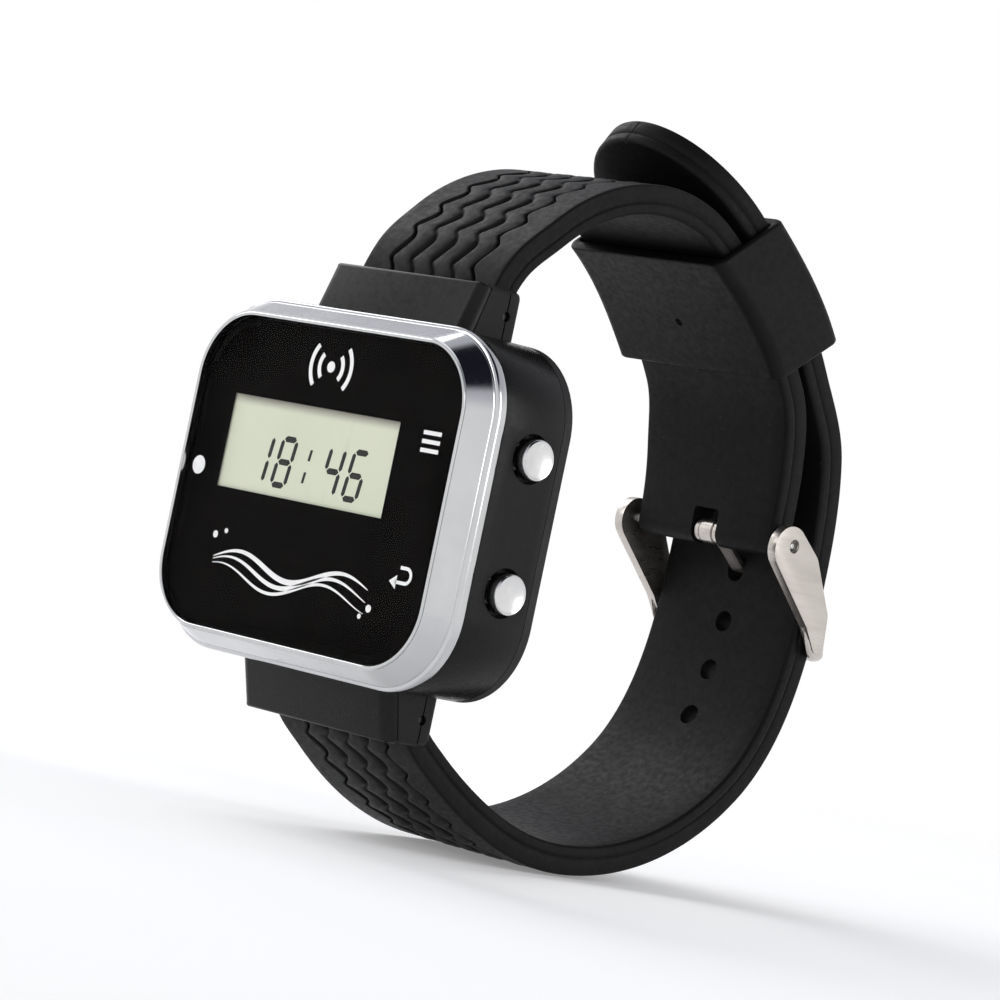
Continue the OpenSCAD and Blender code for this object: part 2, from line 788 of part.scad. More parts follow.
module keeper() {
    bore_in_r = ring_upper_r - strap_t / 2 - 0.25;
    bore_out_r = ring_lower_r + strap_t / 2 + 0.25;
    inside_w = strap_w + 0.5;
    color([0.1, 0.1, 0.105]) difference() {
        along_x(0, inside_w + 2 * keeper_wall)
            polygon(concat(arc(keeper_in_r, keeper_low_in, keeper_top_in, 10),
                           arc(keeper_out_r, keeper_top_out, keeper_low_out, 10)));
        along_x(0, inside_w)
            polygon(concat(arc(bore_in_r, keeper_low_in - 5, keeper_top_in + 5, 16),
                           arc(bore_out_r, keeper_top_in + 5, keeper_low_in - 5, 16)));
    }
}

arm_in_x = strap_end_w / 2 + 1;
arm_out_x = arm_in_x + arm_t;

// The flat of an arm: the round end about the pin, a broad middle and a narrow foot
arm_round = [48.9, 4.5];
arm_middle = [52, 2.4];
arm_waist = [55.8, -2.8];
arm_foot = [57, -5.9];
foot_r = 1;

module arm_flat() {
    hull() {
        translate(arm_round) circle(2.7, $fn = 32);
        translate(arm_middle) circle(2.5, $fn = 32);
        translate(arm_waist) circle(1.9, $fn = 32);
    }
    hull() {
        translate(arm_waist) circle(1.9, $fn = 32);
        translate(arm_foot) circle(foot_r, $fn = 32);
    }
}

module buckle_frame() {
    corner_x = strap_w / 2 + 0.2;
    color([0.72, 0.69, 0.66]) difference() {
        union() {
            for (s = [0, 1]) mirror([s, 0, 0]) {
                along_x((arm_in_x + arm_out_x) / 2, arm_t) arm_flat();
                // the corner that turns from the foot round to the cross bar
                hull() {
                    rod_x(arm_in_x, arm_out_x, foot_r, arm_foot, $fn = 32);
                    rod_x(corner_x, corner_x + 0.3, cross_bar_r, cross_bar_yz, $fn = 32);
                }
            }
            rod_x(-corner_x - eps, corner_x + eps, cross_bar_r, cross_bar_yz);
        }
        rod_x(-strap_w, strap_w, pin_dia / 2 + 0.02, pin_yz);
    }
}

module buckle_pin() {
    color([0.8, 0.8, 0.8]) rod_x(-arm_out_x + 0.1, arm_out_x - 0.1, pin_dia / 2, pin_yz);
}

// Stations of the tongue, from the pin through the strap to the outside of the cross bar
tongue_stations = [
    [pin_yz[0] + 1, pin_yz[1] - 0.4, -22],
    [54.8, 1.6, -37],
    [59, -1.7, -48],
    [cross_bar_yz[0] + 1.55, cross_bar_yz[1] + 1.6, -88],
    [cross_bar_yz[0] + 1.4, cross_bar_yz[1] - 1.1, -97]
];

module tongue_profile(grow = 0) {
    band_profile(tongue_stations, tongue_t, 3, grow);
}

module buckle_tongue() {
    eye_w = 3.6;
    eye_r = 1.45;
    color([0.7, 0.68, 0.66]) difference() {
        union() {
            rod_x(-eye_w / 2, eye_w / 2, eye_r, pin_yz);
            along_x(0, tongue_w) tongue_profile();
        }
        rod_x(-strap_w, strap_w, pin_dia / 2 + run, pin_yz);
    }
}

case_body();
bezel_ring();
front_lens();
lens_mask();
lens_tape();
back_cover();
back_gasket();
back_screws();
lcd_glass();
lcd_backlight();
lcd_holder();
zebra_strips();
main_pcb();
mcu_chip();
receiver_chip();
crystal_can();
chip_passives();
antenna_coil();
indicator_led();
light_pipe();
battery_cell();
battery_leads();
battery_pad();
charge_socket();
motor_can();
motor_boot();
motor_weight();
button(upper_button_z);  // upper_button
button_clip(upper_button_z);  // upper_button_clip
button_spring(upper_button_z);  // upper_button_spring
button_seal(upper_button_z);  // upper_button_seal
switch_body(upper_button_z);  // upper_switch_body
switch_plunger(upper_button_z);  // upper_switch_plunger
button(lower_button_z);  // lower_button
button_clip(lower_button_z);  // lower_button_clip
button_spring(lower_button_z);  // lower_button_spring
button_seal(lower_button_z);  // lower_button_seal
switch_body(lower_button_z);  // lower_switch_body
switch_plunger(lower_button_z);  // lower_switch_plunger
bar_tube(1);  // upper_bar_tube
bar_tip(1, -1);  // upper_bar_tip_left
bar_tip(1, 1);  // upper_bar_tip_right
bar_spring(1);  // upper_bar_spring
bar_tube(-1);  // lower_bar_tube
bar_tip(-1, -1);  // lower_bar_tip_left
bar_tip(-1, 1);  // lower_bar_tip_right
bar_spring(-1);  // lower_bar_spring
strap_upper();
strap_lower();
keeper();
buckle_frame();
buckle_pin();
buckle_tongue();
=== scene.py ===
"""Looks for the wrist pager. Lengths are in millimetres until a piece is finished, then metres."""
import json
import math

import bmesh
import bpy
import numpy as np
from mathutils import Matrix, Vector


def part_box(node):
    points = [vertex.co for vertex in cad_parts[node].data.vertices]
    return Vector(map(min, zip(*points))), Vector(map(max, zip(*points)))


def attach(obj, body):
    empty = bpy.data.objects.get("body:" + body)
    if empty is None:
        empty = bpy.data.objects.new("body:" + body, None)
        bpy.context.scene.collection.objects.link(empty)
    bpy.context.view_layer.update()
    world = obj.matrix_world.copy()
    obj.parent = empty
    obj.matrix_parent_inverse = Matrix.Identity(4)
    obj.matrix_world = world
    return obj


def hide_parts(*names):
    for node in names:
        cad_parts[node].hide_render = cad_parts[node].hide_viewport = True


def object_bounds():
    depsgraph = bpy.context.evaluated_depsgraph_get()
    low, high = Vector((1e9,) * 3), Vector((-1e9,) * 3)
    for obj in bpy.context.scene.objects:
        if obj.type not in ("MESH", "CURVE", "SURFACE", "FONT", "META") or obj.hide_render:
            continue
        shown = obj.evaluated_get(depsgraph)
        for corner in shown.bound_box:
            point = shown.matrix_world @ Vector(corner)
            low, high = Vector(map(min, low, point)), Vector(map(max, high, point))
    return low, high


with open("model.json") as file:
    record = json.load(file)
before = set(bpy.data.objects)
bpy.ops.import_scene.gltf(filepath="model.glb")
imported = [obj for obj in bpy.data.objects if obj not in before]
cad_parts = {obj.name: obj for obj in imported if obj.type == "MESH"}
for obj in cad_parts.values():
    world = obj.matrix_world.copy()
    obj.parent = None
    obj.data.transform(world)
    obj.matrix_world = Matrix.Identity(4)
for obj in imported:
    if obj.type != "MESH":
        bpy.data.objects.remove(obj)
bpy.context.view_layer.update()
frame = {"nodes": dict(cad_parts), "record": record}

MM = 0.001
CASE = "case"


def box_mm(node):
    """A CAD node's lowest and highest corners in millimetres."""
    lo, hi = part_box(node)
    return np.array(lo) / MM, np.array(hi) / MM


# ---------------------------------------------------------------- mesh helpers

def raw(verts, faces):
    """A closed mesh in millimetres, linked to the scene."""
    mesh = bpy.data.meshes.new("raw")
    mesh.from_pydata([tuple(map(float, v)) for v in verts], [], [tuple(map(int, f)) for f in faces])
    mesh.validate()
    bm = bmesh.new()
    bm.from_mesh(mesh)
    bmesh.ops.recalc_face_normals(bm, faces=bm.faces[:])
    bm.to_mesh(mesh)
    bm.free()
    obj = bpy.data.objects.new("raw", mesh)
    bpy.context.scene.collection.objects.link(obj)
    return obj


def baked(obj):
    """Applies the modifiers of obj."""
    graph = bpy.context.evaluated_depsgraph_get()
    mesh = bpy.data.meshes.new_from_object(obj.evaluated_get(graph))
    old = obj.data
    obj.modifiers.clear()
    obj.data = mesh
    bpy.data.meshes.remove(old)
    return obj


def boolean(target, tool, operation="DIFFERENCE"):
    """Cuts tool out of target, or joins it on."""
    mod = target.modifiers.new("cut", "BOOLEAN")
    mod.operation = operation
    mod.solver = "MANIFOLD"
    mod.object = tool
    baked(target)
    bpy.data.objects.remove(tool)
    return target


def bevelled(obj, width, segments=3, angle=30):
    """Rounds every edge sharper than angle."""
    mod = obj.modifiers.new("bevel", "BEVEL")
    mod.width = width
    mod.segments = segments
    mod.limit_method = "ANGLE"
    mod.angle_limit = math.radians(angle)
    mod.use_clamp_overlap = True
    return baked(obj)


def weighted_bevel(obj, width, segments, weight_of):
    """Bevels each edge by width times weight_of(its two ends)."""
    mesh = obj.data
    layer = mesh.attributes.new("bevel_weight_edge", "FLOAT", "EDGE")
    for e in mesh.edges:
        a, b = (mesh.vertices[i].co for i in e.vertices)
        layer.data[e.index].value = weight_of(a, b)
    mod = obj.modifiers.new("bevel", "BEVEL")
    mod.width = width
    mod.segments = segments
    mod.limit_method = "WEIGHT"
    return baked(obj)


def piece(obj, name, material, body, replaces=(), angle=35):
    """Names a finished mesh, shades it and puts it on its body."""
    obj.name = name
    obj.data.name = name
    obj.data.transform(Matrix.Scale(MM, 4))
    for poly in obj.data.polygons:
        poly.use_smooth = True
    obj.data.set_sharp_from_angle(angle=math.radians(angle))
    obj.data.materials.clear()
    obj.data.materials.append(material)
    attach(obj, body)
    if replaces:
        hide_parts(*replaces)
    return obj


def loft(rings, caps=True, around=False):
    """Joins rings of equal length into a tube: closed by caps, or by joining the last to the first."""
    n = len(rings[0])
    verts = [p for ring in rings for p in ring]
    faces = []
    spans = len(rings) if around else len(rings) - 1
    for i in range(spans):
        a, b = i * n, ((i + 1) % len(rings)) * n
        faces += [(a + j, a + (j + 1) % n, b + (j + 1) % n, b + j) for j in range(n)]
    if caps and not around:
        faces.append(tuple(range(n - 1, -1, -1)))
        faces.append(tuple(range((len(rings) - 1) * n, len(rings) * n)))
    return raw(verts, faces)


def outline(w, h, r, off=0.0, n=14):
    """Points of a rounded rectangle in X and Z, moved out by off."""
    pts = []
    for k, (sx, sz) in enumerate([(1, 1), (-1, 1), (-1, -1), (1, -1)]):
        cx, cz = sx * (w / 2 - r), sz * (h / 2 - r)
        for i in range(n + 1):
            a = math.radians(90 * k + 90 * i / n)
            pts.append((cx + (r + off) * math.cos(a), cz + (r + off) * math.sin(a)))
    return pts


def frame_loft(w, h, r, section, n=14):
    """A ring round a rounded rectangle. The section is (distance outside it, y)."""
    return loft([[(x, y, z) for x, z in outline(w, h, r, off, n)] for off, y in section], around=True)


def slab(w, h, r, section, n=14):
    """A solid plate with a rounded rectangle as its outline, from front to back."""
    return loft([[(x, y, z) for x, z in outline(w, h, r, off, n)] for off, y in section])


def prism_x(polygon, x0, x1):
    """A polygon in Y and Z, drawn out along X."""
    return loft([[(x, y, z) for y, z in polygon] for x in (x0, x1)])


def prism_y(polygon, y0, y1):
    """A polygon in X and Z, drawn out along Y."""
    return loft([[(x, y, z) for x, z in polygon] for y in (y0, y1)])


def block(lo, hi):
    return prism_y([(lo[0], lo[2]), (hi[0], lo[2]), (hi[0], hi[2]), (lo[0], hi[2])], lo[1], hi[1])


def turned_x(profile, y, z, n=48, closed=False):
    """A profile of (x, radius) turned about the X line through y, z."""
    rings = []
    for x, r in profile:
        ring = []
        for j in range(n):
            a = 2 * math.pi * j / n
            ring.append((x, y + r * math.cos(a), z + r * math.sin(a)))
        rings.append(ring)
    return loft(rings, around=closed)


def turned_y(profile, x, z, n=40):
    """A profile of (y, radius) turned about the Y line through x, z."""
    rings = [[(x + r * math.cos(2 * math.pi * j / n), y, z + r * math.sin(2 * math.pi * j / n))
              for j in range(n)] for y, r in profile]
    return loft(rings)


# ---------------------------------------------------------------- materials

def node(tree, kind, **values):
    n = tree.nodes.new(kind)
    for key, value in values.items():
        setattr(n, key, value)
    return n


def noise(tree, coords, scale, detail=3.0, stretch=(1, 1, 1), rough=0.55):
    """Noise between 0 and 1, squeezed along each axis by stretch."""
    mapping = node(tree, "ShaderNodeMapping")
    mapping.inputs["Scale"].default_value = stretch
    tree.links.new(coords, mapping.inputs["Vector"])
    tex = node(tree, "ShaderNodeTexNoise")
    tex.inputs["Scale"].default_value = scale
    tex.inputs["Detail"].default_value = detail
    tex.inputs["Roughness"].default_value = rough
    tree.links.new(mapping.outputs["Vector"], tex.inputs["Vector"])
    return tex.outputs["Fac"]


def remap(tree, value, lo, hi, to_lo, to_hi, smooth=False):
    m = node(tree, "ShaderNodeMapRange")
    if smooth:
        m.interpolation_type = "SMOOTHSTEP"
    for socket, v in zip(("From Min", "From Max", "To Min", "To Max"), (lo, hi, to_lo, to_hi)):
        m.inputs[socket].default_value = v
    tree.links.new(value, m.inputs["Value"])
    return m.outputs["Result"]


def mixed(tree, factor, a, b):
    """A blend of two colours, each a constant or a socket."""
    m = node(tree, "ShaderNodeMix", data_type="RGBA")
    tree.links.new(factor, m.inputs["Factor"])
    for socket, c in ((m.inputs[6], a), (m.inputs[7], b)):
        if isinstance(c, (tuple, list)):
            socket.default_value = (*c, 1.0)
        else:
            tree.links.new(c, socket)
    return m.outputs[2]


def surface(name, base, other, rough, rough_to=None, metal=0.0, mottle=300, detail=3.0, stretch=(1, 1, 1),
            grain=2500, bump=0.15, depth=0.02, speck=None, spec=0.5, coat=0.0, coat_rough=0.1):
    """A procedural surface: two mottled colours, a roughness that varies by a finer noise of its own, a fine
    grain, and specks of another colour."""
    mat = bpy.data.materials.new(name)
    mat.use_nodes = True
    tree = mat.node_tree
    shader = tree.nodes["Principled BSDF"]
    coords = node(tree, "ShaderNodeTexCoord").outputs["Object"]
    cloud = noise(tree, coords, mottle, detail, stretch)
    factor = remap(tree, cloud, 0.35, 0.65, 0.0, 1.0)
    colour = mixed(tree, factor, base, other)
    if speck:
        size, share, speck_colour = speck
        dots = noise(tree, coords, size, 2.0)
        colour = mixed(tree, remap(tree, dots, 1 - share, 1 - share + 0.06, 0.0, 1.0), colour, speck_colour)
    tree.links.new(colour, shader.inputs["Base Color"])
    rough_to = rough if rough_to is None else rough_to
    fine = noise(tree, coords, grain * 0.4, 2.0, stretch)
    tree.links.new(remap(tree, fine, 0.3, 0.7, rough, rough_to), shader.inputs["Roughness"])
    shader.inputs["Metallic"].default_value = metal
    shader.inputs["Specular IOR Level"].default_value = spec
    if coat:
        shader.inputs["Coat Weight"].default_value = coat
        shader.inputs["Coat Roughness"].default_value = coat_rough
    b = node(tree, "ShaderNodeBump")
    b.inputs["Strength"].default_value = bump
    b.inputs["Distance"].default_value = depth * MM
    tree.links.new(noise(tree, coords, grain, 3.0, stretch), b.inputs["Height"])
    tree.links.new(b.outputs["Normal"], shader.inputs["Normal"])
    return mat


def linear(level):
    """An sRGB level from 0 to 255 as a linear value."""
    c = max(level, 0) / 255
    return c / 12.92 if c <= 0.04045 else ((c + 0.055) / 1.055) ** 2.4


def rgb(r, g, b):
    """An sRGB colour as a linear one."""
    return (linear(r), linear(g), linear(b))


def grey(v, warm=0.0):
    """A grey, redder than blue by twice warm."""
    return rgb(v + warm, v, v - warm)


MAT = {
    "case_plastic": surface("case_plastic", grey(18), grey(23), 0.24, 0.34, mottle=90, grain=3000, bump=0.03,
                            depth=0.01, spec=0.16),
    "cover_plastic": surface("cover_plastic", grey(27), grey(34), 0.5, 0.62, mottle=220, grain=4500, bump=0.5,
                             depth=0.03, spec=0.3),
    "chrome_bezel": surface("chrome_bezel", grey(206, -1), grey(198, -1), 0.1, 0.16, metal=1.0, mottle=160,
                            grain=5200, bump=0.02, depth=0.002),
    "mask_ink": surface("mask_ink", grey(3), (0.0018, 0.0009, 0.0007), 0.5, 0.6, mottle=260, detail=6.0,
                        grain=2600, bump=0.02, spec=0.02),
    "adhesive": surface("adhesive", grey(48), grey(40), 0.7, 0.8, mottle=900, grain=5000, bump=0.3),
    "button_chrome": surface("button_chrome", grey(218), grey(206), 0.16, 0.24, metal=1.0, mottle=300,
                             grain=6000, bump=0.03, depth=0.002),
    "spring_steel": surface("spring_steel", grey(170), grey(140), 0.25, 0.35, metal=1.0, mottle=800,
                            stretch=(1, 6, 1), grain=4000, bump=0.1),
    "pin_steel": surface("pin_steel", grey(196), grey(170), 0.18, 0.3, metal=1.0, mottle=500,
                         stretch=(6, 1, 1), grain=4000, bump=0.08),
    # darker steel for the spring-bar tips: painted shade of the holes in the hood ends where they sit
    "tip_steel_painted_shade": surface("tip_steel_painted_shade", grey(84), grey(66), 0.35, 0.5, metal=1.0, mottle=500,
                         stretch=(6, 1, 1), grain=4000, bump=0.08),
    "buckle_steel": surface("buckle_steel", grey(198, 6), grey(182, 6), 0.26, 0.36, metal=1.0, mottle=260,
                            detail=5.0, stretch=(1, 0.25, 3), grain=2600, bump=0.08, depth=0.008),
    "screw_steel": surface("screw_steel", grey(150), grey(120), 0.3, 0.45, metal=1.0, mottle=700, grain=3000,
                           bump=0.15),
    "strap_rubber": surface("strap_rubber", grey(10), grey(16), 0.46, 0.62, mottle=140, detail=5.0,
                            grain=3600, bump=0.3, depth=0.02, speck=(2600, 0.28, grey(50)), spec=0.13),
    "seal_rubber": surface("seal_rubber", grey(40), grey(30), 0.6, 0.7, mottle=500, grain=4000, bump=0.3),
    "lcd_polariser": None,
    "diffuser": surface("diffuser", grey(238), grey(226), 0.45, 0.55, mottle=300, grain=3000, bump=0.1),
    "holder_plastic": surface("holder_plastic", grey(205), grey(190), 0.45, 0.55, mottle=200, grain=3000,
                              bump=0.2),
    "contact_rubber": surface("contact_rubber", grey(70), grey(45), 0.6, 0.7, mottle=900, stretch=(9, 1, 1),
                              grain=3500, bump=0.2),
    "board": surface("board", (0.012, 0.10, 0.035), (0.008, 0.07, 0.022), 0.35, 0.5, mottle=420, detail=6.0,
                     grain=2600, bump=0.25, speck=(700, 0.3, (0.35, 0.22, 0.06))),
    "chip_epoxy": surface("chip_epoxy", grey(32), grey(40), 0.5, 0.6, mottle=700, grain=5000, bump=0.4),
    "part_ceramic": surface("part_ceramic", (0.32, 0.2, 0.1), (0.25, 0.16, 0.09), 0.5, 0.6, mottle=900,
                            grain=4000, bump=0.2),
    "nickel_can": surface("nickel_can", grey(196, 3), grey(178, 4), 0.22, 0.32, metal=1.0, mottle=300,
                          stretch=(4, 1, 1), grain=4000, bump=0.1),
    "copper_wire": surface("copper_wire", (0.62, 0.25, 0.12), (0.5, 0.18, 0.08), 0.28, 0.4, metal=1.0,
                           mottle=900, grain=4000, bump=0.1),
    "clear_plastic": surface("clear_plastic", grey(228), grey(214), 0.25, 0.35, mottle=400, grain=3000,
                             bump=0.08),
    "cell_foil": surface("cell_foil", grey(188), grey(170), 0.3, 0.45, metal=0.9, mottle=180, grain=1600,
                         bump=0.4, depth=0.03),
    "lead_insulation": surface("lead_insulation", (0.42, 0.015, 0.012), (0.35, 0.01, 0.01), 0.4, 0.5,
                               mottle=600, grain=3000, bump=0.2),
    "foam": surface("foam", grey(62), grey(44), 0.85, 0.95, mottle=1500, grain=2500, bump=0.9, depth=0.08),
    "switch_plastic": surface("switch_plastic", grey(52), grey(42), 0.45, 0.55, mottle=500, grain=3000,
                              bump=0.2),
    "plunger_plastic": surface("plunger_plastic", grey(206), grey(188), 0.4, 0.5, mottle=500, grain=3000,
                               bump=0.2),
    "tungsten": surface("tungsten", grey(120), grey(98), 0.35, 0.5, metal=1.0, mottle=500, grain=2500,
                        bump=0.25),
    "print_white": surface("print_white", grey(250), grey(240), 0.5, 0.6, mottle=1200, grain=4000, bump=0.05),
    "segment_black": surface("segment_black", grey(4), grey(2), 0.5, 0.6, mottle=1500, grain=4000, bump=0.03),
}


def lcd_material():
    """Grey-green polariser with painted shade under the window's top and left edges, faint smudges, and a
    faint painted glow.
    """
    mat = bpy.data.materials.new("lcd_polariser")
    mat.use_nodes = True
    tree = mat.node_tree
    shader = tree.nodes["Principled BSDF"]
    coords = node(tree, "ShaderNodeTexCoord").outputs["Object"]
    split = node(tree, "ShaderNodeSeparateXYZ")
    tree.links.new(coords, split.inputs[0])
    lo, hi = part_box("lcd_glass")
    tint = mixed(tree, remap(tree, noise(tree, coords, 60, 3.0), 0.3, 0.7, 0.0, 1.0),
                 rgb(210, 215, 194), rgb(216, 220, 200))
    smudge = noise(tree, coords, 420, 4.0, (1, 1, 0.35))
    tint = mixed(tree, remap(tree, smudge, 0.62, 0.78, 0.0, 0.35), tint, rgb(190, 196, 178))
    # painted shade under the window's top edge, and a fainter painted shade towards its left edge
    window_top = hi.z - 0.95 * MM
    top = remap(tree, split.outputs["Z"], window_top - 1.25 * MM, window_top - 0.05 * MM, 0.0, 1.0, True)
    tint = mixed(tree, top, tint, rgb(150, 148, 138))
    left = remap(tree, split.outputs["X"], lo.x + 3.6 * MM, lo.x + 1.0 * MM, 0.0, 0.3, True)
    tint = mixed(tree, left, tint, rgb(196, 199, 180))
    tree.links.new(tint, shader.inputs["Base Color"])
    shader.inputs["Roughness"].default_value = 0.45
    shader.inputs["Specular IOR Level"].default_value = 0.3
    # a faint painted glow: the polariser gives off its own tint as light, though it is no lamp
    shader.inputs["Emission Strength"].default_value = 0.05
    tree.links.new(tint, shader.inputs["Emission Color"])
    return mat


def lens_material(name, mirror):
    """Clear coated glass over the print: see-through with a small mirror share."""
    mat = bpy.data.materials.new(name)
    mat.use_nodes = True
    tree = mat.node_tree
    tree.nodes.clear()
    out = node(tree, "ShaderNodeOutputMaterial")
    clear = node(tree, "ShaderNodeBsdfTransparent")
    gloss = node(tree, "ShaderNodeBsdfGlossy")
    coords = node(tree, "ShaderNodeTexCoord").outputs["Object"]
    smudge = noise(tree, coords, 900, 4.0)
    tree.links.new(remap(tree, smudge, 0.4, 0.8, 0.02, 0.06), gloss.inputs["Roughness"])
    clear.inputs["Color"].default_value = (0.985, 0.985, 0.98, 1)
    mix = node(tree, "ShaderNodeMixShader")
    tree.links.new(remap(tree, noise(tree, coords, 220, 4.0), 0.3, 0.8, mirror * 0.8, mirror * 1.4),
                   mix.inputs[0])
    tree.links.new(clear.outputs[0], mix.inputs[1])
    tree.links.new(gloss.outputs[0], mix.inputs[2])
    tree.links.new(mix.outputs[0], out.inputs["Surface"])
    return mat


MAT["lcd_polariser"] = lcd_material()
MAT["lens_glass"] = lens_material("lens_glass", 0.004)
MAT["lens_inside"] = lens_material("lens_inside", 0.0)

# every CAD node takes the material of its slot in the record, but for these
NODE_LOOK = {"indicator_led": "clear_plastic"}
# the spring-bar tips take the darker steel, which paints the shade of their holes
for side in ("upper", "lower"):
    for end in ("left", "right"):
        NODE_LOOK[f"{side}_bar_tip_{end}"] = "tip_steel_painted_shade"
for part in frame["record"]["subparts"]:
    look = NODE_LOOK.get(part["node"], part["material_slot"])
    slots = frame["nodes"][part["node"]].data.materials
    slots.clear()
    slots.append(MAT[look])

# ---------------------------------------------------------------- case

bezel_lo, bezel_hi = box_mm("bezel_ring")
lens_lo, lens_hi = box_mm("front_lens")
cover_lo, cover_hi = box_mm("back_cover")
glass_w, glass_h = lens_hi[0] - lens_lo[0], lens_hi[2] - lens_lo[2]
glass_r = 7.15              # corner radius of the glass
lip_y = bezel_lo[1]
shelf_y = bezel_hi[1]
lens_back = lens_hi[1]
body_w, body_h = cover_hi[0] - cover_lo[0], cover_hi[2] - cover_lo[2]
body_r = 9.35               # corner radius of the case
cover_y = cover_lo[1]
side_x = body_w / 2
hood_top = box_mm("case_body")[1][2]
bar_y, bar_z = -2.7, 22.3
button_y = -5.6
button_z = {"upper": 7.5, "lower": -7.0}
screw_x, screw_z = 17, 13
rim_front_y, rim_back_y = -13.7, -9.6      # the ledge inside the case that carries the glass


def hood():
    """A lug hood at 12 o'clock: its front leans back, and a fine seam sets off its end caps."""
    half_w, inside_half_w = 12.4, 11.3
    front_foot, front_head, back = -9.4, -7.0, -0.8
    root, below_root = 18.1, 16
    seam_root = 17.0
    profile = [(front_foot, root), (front_head, hood_top), (back, hood_top), (back, root)]
    body = prism_x(profile, -half_w, half_w)

    def weight(a, b):
        # soft along the top and down the front corners, sharp where it meets the case
        along = abs(a.x - b.x) > 1
        if along:
            if a.z < 20 or b.z < 20:
                return 0.0
            return 0.22 if a.y < -5 and b.y < -5 else 0.7
        if a.z < 18.5 and b.z < 18.5:
            return 0.0
        return 1.0 if a.y < -5 and b.y < -5 else 0.5

    weighted_bevel(body, 1.5, 6, weight)
    # room for the strap: under the roof, then open to the back
    boolean(body, block((-inside_half_w, -5.6, below_root), (inside_half_w, 2, hood_top - 1.1)))
    boolean(body, block((-inside_half_w, -4.5, below_root), (inside_half_w, 2, hood_top + 2)))
    for s in (-1, 1):
        seam = [(front_foot + 1.5, seam_root), (front_head + 1.7, hood_top + 1),
                (front_head + 1.84, hood_top + 1), (front_foot + 1.64, seam_root)]
        boolean(body, prism_x(seam, *sorted((s * (half_w - 0.16), s * (half_w + 1)))))
        cap_top = block((s * half_w - 0.9, -5.6, hood_top - 0.12), (s * half_w + 0.9, 0, hood_top + 1))
        boolean(body, cap_top)
        parting = block((s * (half_w + 0.5), bar_y - 0.09, seam_root),
                        (s * (half_w - 0.14), bar_y + 0.09, hood_top + 1))
        boolean(body, parting)
        boolean(body, turned_x([(s * (half_w + 1), 0.55), (s * 11, 0.55)], bar_y, bar_z, 32))
    boolean(body, slab(body_w + 0.1, body_h + 0.1, body_r + 0.05, [(0, cover_y), (0, 1)]))
    return body


def mirrored_z(obj):
    """Turns the 12 o'clock hood into the one at 6 o'clock."""
    obj.data.transform(Matrix.Diagonal((1, 1, -1, 1)))
    obj.data.flip_normals()
    return obj


def case_shell():
    """The case's wall, its two hoods, the screw posts and the button wells."""
    section = [(-0.55, shelf_y), (-0.3, shelf_y + 0.04), (-0.1, shelf_y + 0.16), (0, shelf_y + 0.45),
               (0, cover_y - 0.12), (-0.03, cover_y - 0.03), (-0.1, cover_y),
               (-1.6, cover_y), (-1.6, rim_back_y), (-3.3, rim_back_y), (-3.3, rim_front_y),
               (-2.25, rim_front_y), (-2.25, shelf_y)]
    shell = frame_loft(body_w, body_h, body_r, section, n=24)
    boolean(shell, hood(), "UNION")
    boolean(shell, mirrored_z(hood()), "UNION")
    for sx in (-1, 1):
        for sz in (-1, 1):
            post = turned_y([(-9.7, 2.2), (cover_y, 2.2)], sx * screw_x, sz * screw_z, 24)
            boolean(post, turned_y([(-6.6, 0.75), (0, 0.75)], sx * screw_x, sz * screw_z, 20))
            boolean(shell, post, "UNION")
    for z in button_z.values():
        boss = turned_x([(side_x - 1.5, 2.9), (side_x - 3.2, 2.9)], button_y, z, 40)
        boolean(shell, boss, "UNION")
        recess = turned_x([(side_x + 1, 2.8), (side_x, 2.72), (side_x - 0.1, 2.66), (side_x - 1.2, 2.65),
                           (side_x - 1.21, 1.75), (side_x - 2.3, 1.75), (side_x - 2.31, 1.05),
                           (side_x - 4.5, 1.05)], button_y, z, 64)
        boolean(shell, recess)
    socket_lo, socket_hi = box_mm("charge_socket")
    y = (socket_lo[1] + socket_hi[1]) / 2
    z = (socket_lo[2] + socket_hi[2]) / 2
    mouth = bevelled(block((-side_x - 1, y - 1.4, z - 3.8), (-side_x + 1.8, y + 1.4, z + 3.8)), 0.6, 4)
    boolean(shell, mouth)
    return shell


piece(case_shell(), "case_shell", MAT["case_plastic"], CASE, ["case_body"], 30)

# lip, bevel, dark groove and outer band, then the back
bezel_section = [(0.05, -14.86), (0.07, lip_y + 0.06), (0.13, lip_y), (0.34, lip_y), (0.42, lip_y + 0.05),
                 (0.45, lip_y + 0.17), (0.52, lip_y + 0.17), (0.58, lip_y + 0.14), (1.93, -12.36),
                 (2.0, -12.2), (2.0, -12.05), (2.06, -11.98), (2.2, -11.95), (2.36, -11.84),
                 (2.44, -11.66), (2.45, -11.45),
                 (2.45, -10.8), (2.38, -10.66), (2.25, shelf_y), (1.5, shelf_y), (0.05, -13.35)]
piece(frame_loft(glass_w, glass_h, glass_r, bezel_section, n=32), "bezel", MAT["chrome_bezel"], CASE,
      ["bezel_ring"], 28)

lens_front = lens_lo[1]
lens_section = [(-0.16, lens_front), (-0.05, lens_front + 0.04), (0, lens_front + 0.15), (0, lens_back)]
lens = piece(slab(glass_w, glass_h, glass_r, lens_section, n=32), "lens", MAT["lens_glass"], CASE,
             ["front_lens"], 8)
lens.data.materials.append(MAT["lens_inside"])
for face in lens.data.polygons:
    faces_forward = face.normal.y < -0.3
    if not faces_forward:
        face.material_index = 1

# ---------------------------------------------------------------- print and display segments

def join(objs):
    """Joins separate meshes that don't touch into one piece."""
    bm = bmesh.new()
    for o in objs:
        bm.from_mesh(o.data)
        bpy.data.objects.remove(o)
    mesh = bpy.data.meshes.new("joined")
    bm.to_mesh(mesh)
    bm.free()
    obj = bpy.data.objects.new("joined", mesh)
    bpy.context.scene.collection.objects.link(obj)
    return obj


